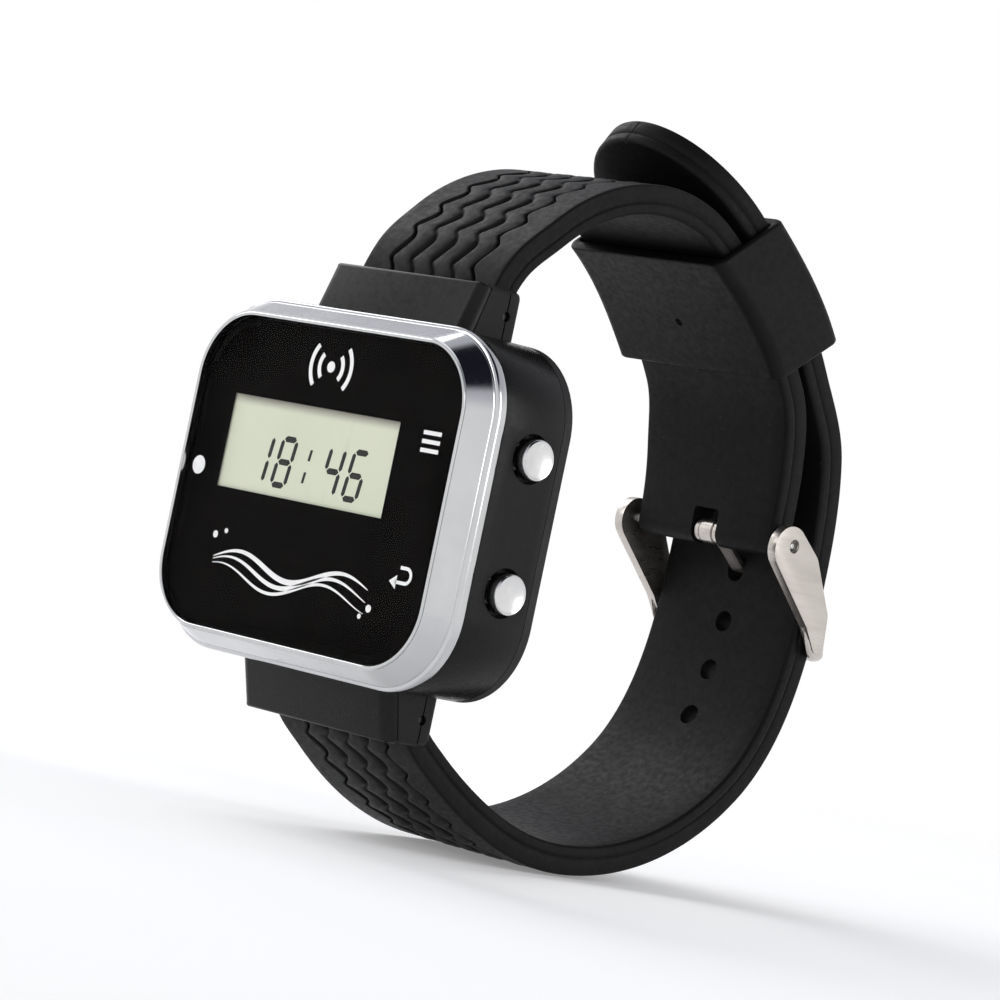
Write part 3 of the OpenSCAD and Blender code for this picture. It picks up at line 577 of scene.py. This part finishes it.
SEGMENTS = {"1": "bc", "4": "bcfg", "6": "acdefg", "8": "abcdefg"}
slant = 0.137
digit_mid_z, half_digit = 2.05, 2.58
segment_y0, segment_y1 = box_mm("lcd_glass")[0][1] - 0.012, box_mm("lcd_glass")[0][1] - 0.002


def slanted(points, x0):
    """Leans a segment's outline and puts it in place along the display."""
    return [(x0 + x + slant * z, digit_mid_z + z) for x, z in points]


def upright(x, z0, z1, t=0.28):
    """A standing segment with pointed ends."""
    return [(x - t, z0 + t), (x, z0), (x + t, z0 + t), (x + t, z1 - t), (x, z1), (x - t, z1 - t)]


def level(x0, x1, z, t=0.34):
    """A lying segment with pointed ends."""
    return [(x0, z), (x0 + t, z - t), (x1 - t, z - t), (x1, z), (x1 - t, z + t), (x0 + t, z + t)]


def digit(text, x0):
    """The lit segments of one digit, centred on x0."""
    w, g = 1.13, 0.12
    shapes = {
        "a": level(-w + g, w - g, half_digit), "g": level(-w + g, w - g, 0),
        "d": level(-w + g, w - g, -half_digit),
        "b": upright(w, g, half_digit - g), "c": upright(w, -half_digit + g, -g),
        "f": upright(-w, g, half_digit - g), "e": upright(-w, -half_digit + g, -g),
    }
    return [prism_y(slanted(shapes[k], x0), segment_y0, segment_y1) for k in SEGMENTS[text]]


segments = digit("1", -9.65) + digit("8", -5.8) + digit("4", 2.3) + digit("6", 6.1)
for z in (1.25, -1.25):
    dot = [(-0.2, z - 0.62), (0.2, z - 0.62), (0.2, z + 0.62), (-0.2, z + 0.62)]
    segments.append(prism_y(slanted(dot, -1.95), segment_y0, segment_y1))
piece(join(segments), "lcd_segments", MAT["segment_black"], CASE)

print_y0, print_y1 = lens_back - 0.03, lens_back - 0.005


def stroke(points, width, taper=(1.0, 1.0)):
    """A flat line of print along points in X and Z."""
    pts = np.array(points, float)
    way = np.gradient(pts, axis=0)
    way /= np.linalg.norm(way, axis=1)[:, None]
    side = np.stack([-way[:, 1], way[:, 0]], 1)
    t = np.linspace(0, 1, len(pts))
    w = width / 2 * (taper[0] + (1 - taper[0]) * np.sin(np.pi * t) ** 0.8) if taper[0] < 1 else \
        width / 2 * np.ones(len(pts))
    left, right = pts + side * w[:, None], pts - side * w[:, None]
    return prism_y([tuple(p) for p in left] + [tuple(p) for p in right[::-1]], print_y0, print_y1)


def arc_points(cx, cz, r, a0, a1, n=28):
    """Points along an arc, with its angles in degrees."""
    angles = (math.radians(a0 + (a1 - a0) * i / n) for i in range(n + 1))
    return [(cx + r * math.cos(a), cz + r * math.sin(a)) for a in angles]


def disc(x, z, r, n=36):
    """A printed dot."""
    return prism_y([(x + r * math.cos(2 * math.pi * i / n), z + r * math.sin(2 * math.pi * i / n))
                    for i in range(n)], print_y0, print_y1)


marks = []
# receiving symbol in place of the word above the display: a dot between two pairs of arcs
symbol_x, symbol_z = -1.1, 13.2
marks.append(disc(symbol_x, symbol_z, 0.62))
for r in (1.9, 3.3):
    for mid in (0, 180):
        marks.append(stroke(arc_points(symbol_x, symbol_z, r, mid - 42, mid + 42), 0.55))
# menu mark: three bars
for i in (-1, 0, 1):
    bar_height = 7.1 + 0.95 * i
    marks.append(stroke([(x, bar_height) for x in (15.6, 17.0, 18.4)], 0.45))
# return mark: a hook with an arrowhead
marks.append(stroke([(15.9, -8.1), (17.4, -8.1)] + arc_points(17.4, -7.3, 0.8, -90, 90, 12)
                    + [(17.2, -6.5), (16.4, -6.5)], 0.38))
marks.append(prism_y([(15.0, -8.1), (16.1, -7.35), (16.1, -8.85)], print_y0, print_y1))
# plain border of waves below the display
wave_left, wave_w, wave_top, wave_gap = -14.0, 26, -9.6, 0.825
for k in range(3):
    wave = [(wave_left + wave_w * t,
             wave_top - wave_gap * k + 1.1 * math.sin(2 * math.pi * (1.5 * t + 0.08 * k)))
            for t in np.linspace(0, 1, 90)]
    marks.append(stroke(wave, 0.62 - 0.13 * k, (0.15, 0.15)))
for x, z, r in ((-14.4, -7.2, 0.4), (-12.7, -6.6, 0.28), (12.7, -11.5, 0.42), (11.5, -12.5, 0.28)):
    marks.append(disc(x, z, r))
led_lo, led_hi = box_mm("light_pipe")
marks.append(disc((led_lo[0] + led_hi[0]) / 2, (led_lo[2] + led_hi[2]) / 2, 1.05))
piece(join(marks), "lens_print", MAT["print_white"], CASE)

# ---------------------------------------------------------------- buttons

for which, z in button_z.items():
    lo, hi = box_mm(f"{which}_button")
    out_x = hi[0]
    # stem, skirt, rounded rim, then a shallow dish
    cap = [(lo[0], 0.9), (lo[0] + 0.1, 1.0), (out_x - 2.08, 1.0), (out_x - 2.07, 2.05), (out_x - 1.98, 2.2),
           (out_x - 1.9, 2.25), (out_x - 0.9, 2.25), (out_x - 0.62, 2.22), (out_x - 0.5, 2.15),
           (out_x - 0.44, 2.06), (out_x - 0.45, 1.98), (out_x - 0.49, 1.92)]
    cap += [(out_x - 0.5 - 0.16 * (1 - (r / 1.9) ** 2), r) for r in (1.88, 1.6, 1.3, 1.0, 0.7, 0.35, 0.1)]
    piece(turned_x(cap, button_y, z, 72), f"{which}_button_cap", MAT["button_chrome"], f"{which}_button",
          [f"{which}_button"], 28)

# ---------------------------------------------------------------- strap

ring_c = np.array([5.0, -6.4])
ring_upper_r, ring_lower_r = 50.0, 54.3
strap_w, strap_t = 23.2, 3.4
half_t = strap_t / 2
line_steps = 24             # points between two stations
line_extend = 2.5           # straight stretch before the first station and after the last
tip_l = 15.0                # length of the long strap's rounded tip
pin_yz = (49.4, 4.9)


def on_ring(r, polar, heading):
    """A station on a circle about the loop's centre."""
    a = math.radians(polar)
    return (ring_c[0] + r * math.cos(a), ring_c[1] + r * math.sin(a), heading)


# each station is Y, Z and the line's heading in degrees there
upper_stations = [(bar_y, bar_z, 90), (-1, 27.8, 60), (3.6, 32.7, 44), (19.5, 39.6, 2),
                  on_ring(ring_upper_r, 61, -29), on_ring(ring_upper_r, 48, -42),
                  on_ring(ring_upper_r, 35, -55),
                  (48.6, 14, -79), (*pin_yz, -88)]
lower_stations = [(bar_y, -bar_z, -70), (2.2, -27.2, -36), (24, -35.3, 0), (49, -24.7, 47), (56.4, 0, 89),
                  (55, 15.6, 105), on_ring(ring_lower_r, 35, 125), on_ring(ring_lower_r, 52, 142),
                  (24, 46.85, 146)]


def middle_line(stations, steps=line_steps, extend=line_extend):
    """Points along a smooth line through stations and their lengths, with a straight stretch at each end."""
    pts = []
    for i, (a, b) in enumerate(zip(stations, stations[1:])):
        p0, p3 = np.array(a[:2], float), np.array(b[:2], float)
        handle = np.linalg.norm(p3 - p0) / (3 * math.cos(math.radians((b[2] - a[2]) / 4)) ** 2)
        da, db = (np.array([math.cos(math.radians(h)), math.sin(math.radians(h))]) for h in (a[2], b[2]))
        p1, p2 = p0 + handle * da, p3 - handle * db
        last = steps + 1 if i == len(stations) - 2 else steps
        for k in range(last):
            t = k / steps
            u = 1 - t
            pts.append(u ** 3 * p0 + 3 * u * u * t * p1 + 3 * u * t * t * p2 + t ** 3 * p3)
    da, db = (np.array([math.cos(math.radians(h)), math.sin(math.radians(h))])
              for h in (stations[0][2], stations[-1][2]))
    pts = np.array([pts[0] - extend * da] + pts + [pts[-1] + extend * db])
    step = np.linalg.norm(np.diff(pts, axis=0), axis=1)
    s = np.concatenate([[0], np.cumsum(step)]) - extend
    return pts, s


class Line:
    """The middle of a strap, found by its length s from the first station."""

    def __init__(self, stations):
        self.pts, self.s = middle_line(stations)
        self.length = self.s[-1] - line_extend

    def at(self, s):
        return np.stack([np.interp(s, self.s, self.pts[:, 0]), np.interp(s, self.s, self.pts[:, 1])], -1)

    def way(self, s):
        d = self.at(np.asarray(s) + 0.4) - self.at(np.asarray(s) - 0.4)
        return d / np.linalg.norm(d, axis=-1, keepdims=True)


def smooth(x, a, b):
    """Rises smoothly from 0 at a to 1 at b."""
    t = np.clip((x - a) / (b - a), 0, 1)
    return t * t * (3 - 2 * t)


groove_u = (-7.0, -3.5, 0.0, 3.5, 7.0)
tread_pitch = 4.4


def tread_wave(s):
    """Sideways shift of the tread's lines: a slow drift and a quick return in each pitch."""
    p = np.mod(s / tread_pitch, 1.0)
    return 0.62 * np.where(p < 0.64, -np.cos(np.pi * p / 0.64), np.cos(np.pi * (p - 0.64) / 0.36))


def tread(u, s, plain_from=None):
    """Height of the tread above the strap's outer face."""
    p = np.mod(s / tread_pitch, 1.0)
    drift = smooth(p, 0.0, 0.12) * (1 - smooth(p, 0.52, 0.7))
    inside = 1 - smooth(np.abs(u), 6.95, 7.05)
    d = np.abs(np.mod(u, 3.5) / 3.5 - 0.5) * 2
    crown = 0.13 - 0.42 * d ** 2.4 * (0.55 + 0.45 * drift)
    bump = 0.5 + 0.5 * np.cos(2 * np.pi * (p - 0.82))
    crown = crown - 0.2 * (1 - bump) * (1 - d ** 2)
    height = inside * crown
    for g in groove_u:
        outer = abs(g) > 5
        depth = 0.62 if outer else 0.5 * (0.3 + 0.7 * drift)
        width = 0.17 if outer else 0.26
        height = height - depth * np.exp(-((u - g) / width) ** 2)
    if plain_from is not None:
        middle = 1 - smooth(np.abs(u), 2.1, 2.5)
        height = height * (1 - middle * smooth(s, plain_from - 2, plain_from))
    return np.maximum(height, -0.62)


def face_columns():
    """Places across the strap's outer face, close together at the grooves."""
    cols = set()
    for g in groove_u:
        for o in (0, 0.08, 0.16, 0.25, 0.36, 0.55):
            cols.add(round(g + o, 3))
            cols.add(round(g - o, 3))
    for c in (-5.25, -1.75, 1.75, 5.25):
        for o in (0, 0.4, 0.8):
            cols.add(round(c + o, 3))
            cols.add(round(c - o, 3))
    for o in (8.0, 8.7, 9.4, 10.1, 10.7):
        cols.add(o)
        cols.add(-o)
    return np.array(sorted(cols))


def strap(stations, outer_sign, half_width, round_tip, plain_from=None, pitch=0.22):
    """A strap along stations, with tread on its outer face and a groove along both edges."""
    line = Line(stations)
    r_out, r_in = 0.35, 0.55
    rows = []       # place along the line, half thickness, half width, outline normal along and across
    for a in np.radians(np.linspace(10, 80, 8)):
        rows.append((-half_t * math.cos(a), half_t * math.sin(a), None, 0, 1))
    body_end = line.length if not round_tip else line.length + half_t - tip_l
    for s in np.linspace(0, body_end, int(body_end / pitch)):
        rows.append((s, half_t, None, 0, 1))
    if round_tip:
        for a in np.radians(np.linspace(1, 89.6, 90)):
            n_s, n_x = math.sin(a) / tip_l, math.cos(a) / (strap_w / 2)
            norm = math.hypot(n_s, n_x)
            rows.append((body_end + tip_l * math.sin(a), half_t, strap_w / 2 * math.cos(a),
                         n_s / norm, n_x / norm))
    else:
        for a in np.radians(np.linspace(80, 10, 8)):
            rows.append((line.length + half_t * math.cos(a), half_t * math.sin(a), None, 0, 1))
    arcs = np.radians(np.linspace(0, 90, 5))
    side = [(r_out * (1 - math.sin(a)), half_t - r_out * (1 - math.cos(a))) for a in arcs]
    side += [(0, 0.55), (0, -0.18), (0.07, -0.24), (0.13, -0.3), (0.13, -0.38), (0.07, -0.44), (0, -0.5),
             (0, -0.8)]
    side += [(r_in * (1 - math.sin(a)), -half_t + r_in * (1 - math.cos(a))) for a in arcs[::-1]]
    side = np.array(side)
    columns = face_columns()
    edge_u = strap_w / 2 - r_out
    inner_u = np.array([-0.8, -0.55, -0.3, 0.0, 0.3, 0.55, 0.8])
    rings = []
    for s, ht, hw, n_s, n_x in rows:
        at = line.at(s)
        if hw is None:
            hw = half_width(at)
        way = line.way(s)
        out = outer_sign * np.array([-way[1], way[0]])
        k = ht / half_t

        def place(ds, x, n):
            c = at + way * ds + out * n
            return (x, c[0], c[1])

        ring = []
        fade = smooth(s, 1.5, 3.0) * (1 - smooth(s, line.length - (1.0 if round_tip else 5.0),
                                                 line.length + (1.6 if round_tip else -3.0)))
        ds_in = -r_out * n_s
        scale = max(hw - r_out * n_x, 0.02) / edge_u
        shift = tread_wave(s) * (1 - smooth(np.abs(columns), 7.4, 10.4)) * fade
        heights = tread(columns, s, plain_from) * fade
        for x, h in zip((columns + shift) * scale, heights):
            ring.append(place(ds_in, x, ht + h))
        for o, n in side:
            ring.append(place(-o * n_s, hw - o * n_x, n * k))
        inner_half = max(hw - r_in * n_x, 0.02)
        for u in inner_u[::-1]:
            ring.append(place(-r_in * n_s, u * inner_half, -ht))
        for o, n in side[::-1]:
            ring.append(place(-o * n_s, -(hw - o * n_x), n * k))
        rings.append(ring)
    return loft(rings), line


def upper_half_width(at):
    """Half the short strap's width, which narrows at the lug and at the buckle."""
    narrow = 0.5 * (1 - smooth(at[1], 25.6, 34)) * (at[0] < 10)
    narrow += 0.5 * (1 - smooth(at[1], 6, 18)) * (at[0] > 40)
    return strap_w / 2 - narrow


def lower_half_width(at):
    """Half the long strap's width, which narrows at the lug."""
    return strap_w / 2 - 0.5 * (1 - smooth(-at[1], 25.6, 33)) * (at[0] < 10)


tongue_w = 2.0
cross_bar = (59.35, -7.1)
tongue_stations = [(pin_yz[0] + 1, pin_yz[1] - 0.4, -22), (54.8, 1.6, -37), (59, -1.7, -48),
                   (cross_bar[0] + 1.55, cross_bar[1] + 1.6, -88),
                   (cross_bar[0] + 1.4, cross_bar[1] - 1.1, -97)]


def band_polygon(line, half, s0, s1, n=40):
    """The outline of a band of even thickness along a line."""
    s = np.linspace(s0, s1, n)
    mid, way = line.at(s), line.way(s)
    side = np.stack([-way[:, 1], way[:, 0]], 1)
    return [tuple(p) for p in mid + side * half] + [tuple(p) for p in (mid - side * half)[::-1]]


upper_mesh, _ = strap(upper_stations, 1, upper_half_width, False)
notch = bevelled(block((-2.0, pin_yz[0] - 5, pin_yz[1] - 5), (2.0, pin_yz[0] + 5, pin_yz[1] + 2.6)), 0.5, 3)
boolean(upper_mesh, notch)
boolean(upper_mesh, turned_x([(-15, 0.8), (15, 0.8)], *pin_yz, 24))
boolean(upper_mesh, turned_x([(-15, 0.8), (15, 0.8)], bar_y, bar_z, 24))
piece(upper_mesh, "short_strap", MAT["strap_rubber"], CASE, ["strap_upper"], 55)

lower_line = Line(lower_stations)
# the tongue goes through the hole just past the station behind the buckle
tongue_station = 4
tongue_s = lower_line.s[1 + tongue_station * line_steps] + 0.8
hole_pitch, hole_count, holes_before_tongue = 6.3, 7, 3
hole_s = [tongue_s + (i - holes_before_tongue) * hole_pitch for i in range(hole_count)]
lower_mesh, _ = strap(lower_stations, -1, lower_half_width, True, plain_from=hole_s[0] - 5)
for s in hole_s:
    at, way = lower_line.at(s), lower_line.way(s)
    out = -np.array([-way[1], way[0]])
    # a straight hole through the strap, wider where it breaks each face
    rings = []
    for n, r in ((-2.6, 1.3), (-1.72, 1.26), (-1.6, 1.2), (1.6, 1.2), (1.72, 1.26), (2.6, 1.3)):
        ring = []
        for j in range(32):
            a = 2 * math.pi * j / 32
            c = at + out * n + way * r * math.sin(a)
            ring.append((r * math.cos(a), c[0], c[1]))
        rings.append(ring)
    boolean(lower_mesh, loft(rings))
tongue_line = Line(tongue_stations)
boolean(lower_mesh, prism_x(band_polygon(tongue_line, 0.75, -1.5, tongue_line.length + 1), -1.2, 1.2))
boolean(lower_mesh, turned_x([(-15, 0.8), (15, 0.8)], bar_y, -bar_z, 24))
piece(lower_mesh, "long_strap", MAT["strap_rubber"], CASE, ["strap_lower"], 55)

# ---------------------------------------------------------------- keeper

keeper_in_r, keeper_out_r = 46.55, 57.75
bore_in_r, bore_out_r = 48.05, 56.25


def keeper_mesh():
    """A tube round both straps, a little wider at its lower end, with soft edges."""
    mid_r, half_r = (keeper_in_r + keeper_out_r) / 2, (keeper_out_r - keeper_in_r) / 2

    def ring(t, half_w, half_h, corner):
        out = []
        for x, from_mid in outline(2 * half_w, 2 * half_h, corner, n=8):
            r = mid_r + from_mid
            f = (r - keeper_in_r) / (keeper_out_r - keeper_in_r)
            # its ends in degrees round the loop, closer together on the outer face
            low, top = 39.3 - 0.6 * f, 60.4 - 4.4 * f
            a = math.radians(low + (top - low) * t)
            out.append((x, ring_c[0] + r * math.cos(a), ring_c[1] + r * math.sin(a)))
        return out

    def outer_half(t):
        return 13.45 - 0.75 * smooth(t, 0.1, 1.0)

    edge = 0.35         # radius of its end edges
    span = 18.0         # its length along the loop
    e = edge / span
    ts = [0.0, 0.3 * e, 0.75 * e, *np.linspace(e, 1 - e, 22), 1 - 0.75 * e, 1 - 0.3 * e, 1.0]
    insets = [edge, edge * 0.3, edge * 0.04] + [0] * 22 + [edge * 0.04, edge * 0.3, edge]
    outer = [ring(t, outer_half(t) - i, half_r - i, 1.6) for t, i in zip(ts, insets)]
    bore_half = (bore_out_r - bore_in_r) / 2
    inner = [ring(t, strap_w / 2 + 0.25 + 0.5 * i, bore_half + 0.5 * i, 0.5) for t, i in zip(ts, insets)]
    return loft(outer + inner[::-1], around=True)


keeper = keeper_mesh()
# the moulding dimple in its inner face
a = math.radians(47.5)
outward = np.array([math.cos(a), math.sin(a)])
around = np.array([-math.sin(a), math.cos(a)])
dimple_at = ring_c + (keeper_in_r - 0.5) * outward
rings = []
for n, r in ((-1.2, 0.75), (0.35, 0.6), (0.72, 0.45), (0.85, 0.2)):
    turns = [2 * math.pi * j / 24 for j in range(24)]
    rings.append([(r * math.cos(t), *(dimple_at + n * outward + r * math.sin(t) * around)) for t in turns])
boolean(keeper, loft(rings))
piece(keeper, "strap_keeper", MAT["strap_rubber"], "keeper", ["keeper"], 40)

# ---------------------------------------------------------------- buckle

arm_in, arm_out = 12.1, 13.3
arm_circles = [((48.9, 4.5), 2.7), ((52, 2.4), 2.5), ((55.8, -2.8), 1.9)]
foot_circle = ((57, -5.9), 1.0)


def hull_outline(circles, n=40):
    """Convex outline round circles in Y and Z."""
    pts = np.array([[c[0] + r * math.cos(2 * math.pi * j / n), c[1] + r * math.sin(2 * math.pi * j / n)]
                    for c, r in circles for j in range(n)])
    order = pts[np.lexsort((pts[:, 1], pts[:, 0]))]

    def half(points):
        chain = []
        for p in points:
            while len(chain) > 1 and np.cross(chain[-1] - chain[-2], p - chain[-1]) <= 1e-9:
                chain.pop()
            chain.append(p)
        return chain[:-1]

    return [tuple(p) for p in half(order) + half(order[::-1])]


def arm(sign):
    """One flat side arm, wide at the pin and narrow at its foot."""
    x0, x1 = sorted((sign * arm_in, sign * arm_out))
    part = prism_x(hull_outline(arm_circles), x0, x1)
    boolean(part, prism_x(hull_outline([arm_circles[-1], foot_circle]), x0, x1), "UNION")
    return bevelled(part, 0.25, 3, 40)


def bow():
    """The bar of the frame from foot to foot, bent round both corners."""
    foot = np.array([(arm_in + arm_out) / 2, 55.2, -2.0])
    turn = [foot, np.array([12.7, 56.2, -4.2]), np.array([12.66, 57.1, -5.9]), np.array([12.2, 58.2, -6.75]),
            np.array([11.2, 59.1, -7.05]), np.array([9.5, *cross_bar])]
    middle = [np.array([x, *cross_bar]) for x in (5.0, 0.0, -5.0)]
    pts = np.array(turn + middle + [p * np.array([-1, 1, 1]) for p in turn[::-1]])
    # a smooth curve through the points
    per_span = 6
    fine = []
    for i in range(len(pts) - 1):
        p0, p1, p2, p3 = (pts[min(max(k, 0), len(pts) - 1)] for k in (i - 1, i, i + 1, i + 2))
        for k in range(per_span):
            t = k / per_span
            fine.append(0.5 * (2 * p1 + (p2 - p0) * t + (2 * p0 - 5 * p1 + 4 * p2 - p3) * t * t
                               + (3 * p1 - p0 - 3 * p2 + p3) * t ** 3))
    fine.append(pts[-1])
    fine = np.array(fine)
    way = np.gradient(fine, axis=0)
    way /= np.linalg.norm(way, axis=1)[:, None]
    sideways = np.array([1.0, 0, 0])
    downhill = np.array([0, math.cos(math.radians(-50)), math.sin(math.radians(-50))])
    rings = []
    for p, w in zip(fine, way):
        # one axis of the section stays as near as it can to X, or to the arm's slope where it runs along X
        u = sideways - w * np.dot(sideways, w)
        if np.linalg.norm(u) < 0.35:
            u = downhill - w * np.dot(downhill, w)
        u /= np.linalg.norm(u)
        v = np.cross(w, u)
        # a round bar in the middle that flattens into the arms
        near_arm = smooth(abs(p[0]), 11.9, 12.7)
        flat, wide = 0.8 - 0.2 * near_arm, 0.8 + 0.75 * near_arm
        ring = []
        for j in range(20):
            a = 2 * math.pi * j / 20
            ring.append(tuple(p + u * flat * math.cos(a) + v * wide * math.sin(a)))
        rings.append(ring)
    return loft(rings)


def frame_mesh():
    """The bow and both arms in one, with the pin's holes."""
    part = bow()
    for sign in (-1, 1):
        boolean(part, arm(sign), "UNION")
    for sign in (-1, 1):
        sink = [(sign * (arm_out + 0.5), 0.86), (sign * (arm_out + 0.01), 0.82),
                (sign * (arm_out - 0.1), 0.78), (sign * (arm_in - 0.5), 0.78)]
        boolean(part, turned_x(sink, *pin_yz, 32))
    return part


piece(frame_mesh(), "buckle_bow", MAT["buckle_steel"], "buckle", ["buckle_frame"], 40)

pin_end = [(13.02, 0.12), (12.98, 0.3), (12.86, 0.42), (12.6, 0.46), (12.55, 0.75), (2.4, 0.75), (2.35, 0.72)]
pin_profile = [(-x, r) for x, r in pin_end] + pin_end[::-1]
piece(turned_x(pin_profile, *pin_yz, 32), "buckle_pin_bar", MAT["pin_steel"], "buckle",
      ["buckle_pin"], 30)


def tongue_mesh():
    """A bent flat bar with an eye round the pin."""
    half_n, half_x = 0.45, tongue_w / 2
    rings = []
    for s in np.linspace(-0.4, tongue_line.length + 0.4, 60):
        at, way = tongue_line.at(s), tongue_line.way(s)
        side = np.array([-way[1], way[0]])
        end = 1 - 0.35 * smooth(s, tongue_line.length - 0.8, tongue_line.length + 0.4)
        ring = []
        for x, n in outline(2 * half_x * end, 2 * half_n, 0.22, n=4):
            c = at + side * n
            ring.append((x, c[0], c[1]))
        rings.append(ring)
    part = loft(rings)
    half_eye = [(1.8, 1.25), (1.68, 1.4), (1.2, 1.4), (1.1, 1.22), (0.98, 1.22), (0.9, 1.45)]
    eye = turned_x([(-x, r) for x, r in half_eye] + half_eye[::-1], *pin_yz, 40)
    boolean(part, eye, "UNION")
    boolean(part, turned_x([(-3, 0.79), (3, 0.79)], *pin_yz, 32))
    return part


piece(tongue_mesh(), "tongue_bar", MAT["buckle_steel"], "tongue", ["buckle_tongue"], 40)

# ---------------------------------------------------------------- stage, lights and camera

floor_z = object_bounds()[0][2] - 0.0002


def floor_material():
    """Pale matt floor that fades into the backdrop far from the object."""
    mat = bpy.data.materials.new("floor")
    mat.use_nodes = True
    tree = mat.node_tree
    shader = tree.nodes["Principled BSDF"]
    out = tree.nodes["Material Output"]
    coords = node(tree, "ShaderNodeTexCoord").outputs["Object"]
    tint = mixed(tree, remap(tree, noise(tree, coords, 8, 2.0), 0.3, 0.7, 0.0, 1.0), grey(253), grey(250))
    tree.links.new(tint, shader.inputs["Base Color"])
    tree.links.new(tint, shader.inputs["Emission Color"])
    shader.inputs["Emission Strength"].default_value = 0.22
    shader.inputs["Roughness"].default_value = 0.9
    shader.inputs["Specular IOR Level"].default_value = 0.1
    length = node(tree, "ShaderNodeVectorMath", operation="LENGTH")
    tree.links.new(coords, length.inputs[0])
    fade = remap(tree, length.outputs["Value"], 0.12, 0.4, 0.0, 1.0, True)
    clear = node(tree, "ShaderNodeBsdfTransparent")
    mix = node(tree, "ShaderNodeMixShader")
    tree.links.new(fade, mix.inputs[0])
    tree.links.new(shader.outputs[0], mix.inputs[1])
    tree.links.new(clear.outputs[0], mix.inputs[2])
    tree.links.new(mix.outputs[0], out.inputs["Surface"])
    return mat


floor_r, floor_sides = 0.7, 96
floor_mesh = bpy.data.meshes.new("floor")
turns = [2 * math.pi * i / floor_sides for i in range(floor_sides)]
floor_mesh.from_pydata([(floor_r * math.cos(t), floor_r * math.sin(t), 0) for t in turns], [],
                       [tuple(range(floor_sides))])
floor = bpy.data.objects.new("floor", floor_mesh)
bpy.context.scene.collection.objects.link(floor)
floor.location = (0, 0.02, floor_z)
floor.data.materials.append(floor_material())


def area(name, place, target, size, power):
    """A white softbox, aimed at target."""
    light = bpy.data.lights.new(name, "AREA")
    light.shape = "RECTANGLE"
    light.size, light.size_y = size
    light.energy = power
    obj = bpy.data.objects.new(name, light)
    bpy.context.scene.collection.objects.link(obj)
    obj.location = place
    way = Vector(target) - Vector(place)
    obj.rotation_euler = way.to_track_quat("-Z", "Y").to_euler()
    return obj


area("top_softbox", (-0.45, 0.0, 0.4), (0, 0.02, 0), (0.4, 0.4), 1.3)
area("left_softbox", (-0.3, -0.5, 0.3), (0, 0, 0), (0.3, 0.3), 0.6)
area("right_softbox", (0.55, 0.25, 0.2), (0, 0.03, 0), (0.2, 0.4), 0.7)


def studio_world():
    """A white room, greyer above, with a dark card overhead for the chrome to pick up."""
    world = bpy.data.worlds.new("studio")
    bpy.context.scene.world = world
    world.use_nodes = True
    tree = world.node_tree
    back = tree.nodes["Background"]
    coords = node(tree, "ShaderNodeTexCoord").outputs["Generated"]
    split = node(tree, "ShaderNodeSeparateXYZ")
    tree.links.new(coords, split.inputs[0])
    high = remap(tree, split.outputs["Z"], 0.2, 0.6, 0.0, 1.0, True)
    colour = mixed(tree, high, (1.0, 1.0, 1.0), (0.60, 0.61, 0.66))
    dot = node(tree, "ShaderNodeVectorMath", operation="DOT_PRODUCT")
    dot.inputs[1].default_value = (0.27, -0.05, 0.962)
    tree.links.new(coords, dot.inputs[0])
    card = remap(tree, dot.outputs["Value"], 0.78, 0.9, 0.0, 1.0, True)
    colour = mixed(tree, card, colour, (0.012, 0.012, 0.02))
    tree.links.new(colour, back.inputs["Color"])
    back.inputs["Strength"].default_value = 1.0


studio_world()

# the camera's azimuth, elevation and roll, and its distance from the middle of the glass
az, el, roll = (math.radians(v) for v in (46.12, -0.76, 11.77))
back = Vector((math.sin(az) * math.cos(el), -math.cos(az) * math.cos(el), math.sin(el)))
right0 = Vector((math.cos(az), math.sin(az), 0))
up0 = back.cross(right0)
right = math.cos(roll) * right0 + math.sin(roll) * up0
up = -math.sin(roll) * right0 + math.cos(roll) * up0
glass_middle = Vector((0, -15, 0))
shift_right, shift_up, distance = 20.955, -1.537, 444.1
place = glass_middle + shift_right * right + shift_up * up + distance * back
cam_data = bpy.data.cameras.new("camera")
cam_data.lens = 147.6
cam_data.sensor_width = 36
cam_data.clip_start = 0.01
camera = bpy.data.objects.new("camera", cam_data)
bpy.context.scene.collection.objects.link(camera)
camera.matrix_world = Matrix.Translation(place * MM) @ Matrix((right, up, back)).transposed().to_4x4()
bpy.context.scene.camera = camera
bpy.context.scene.view_settings.view_transform = "Standard"
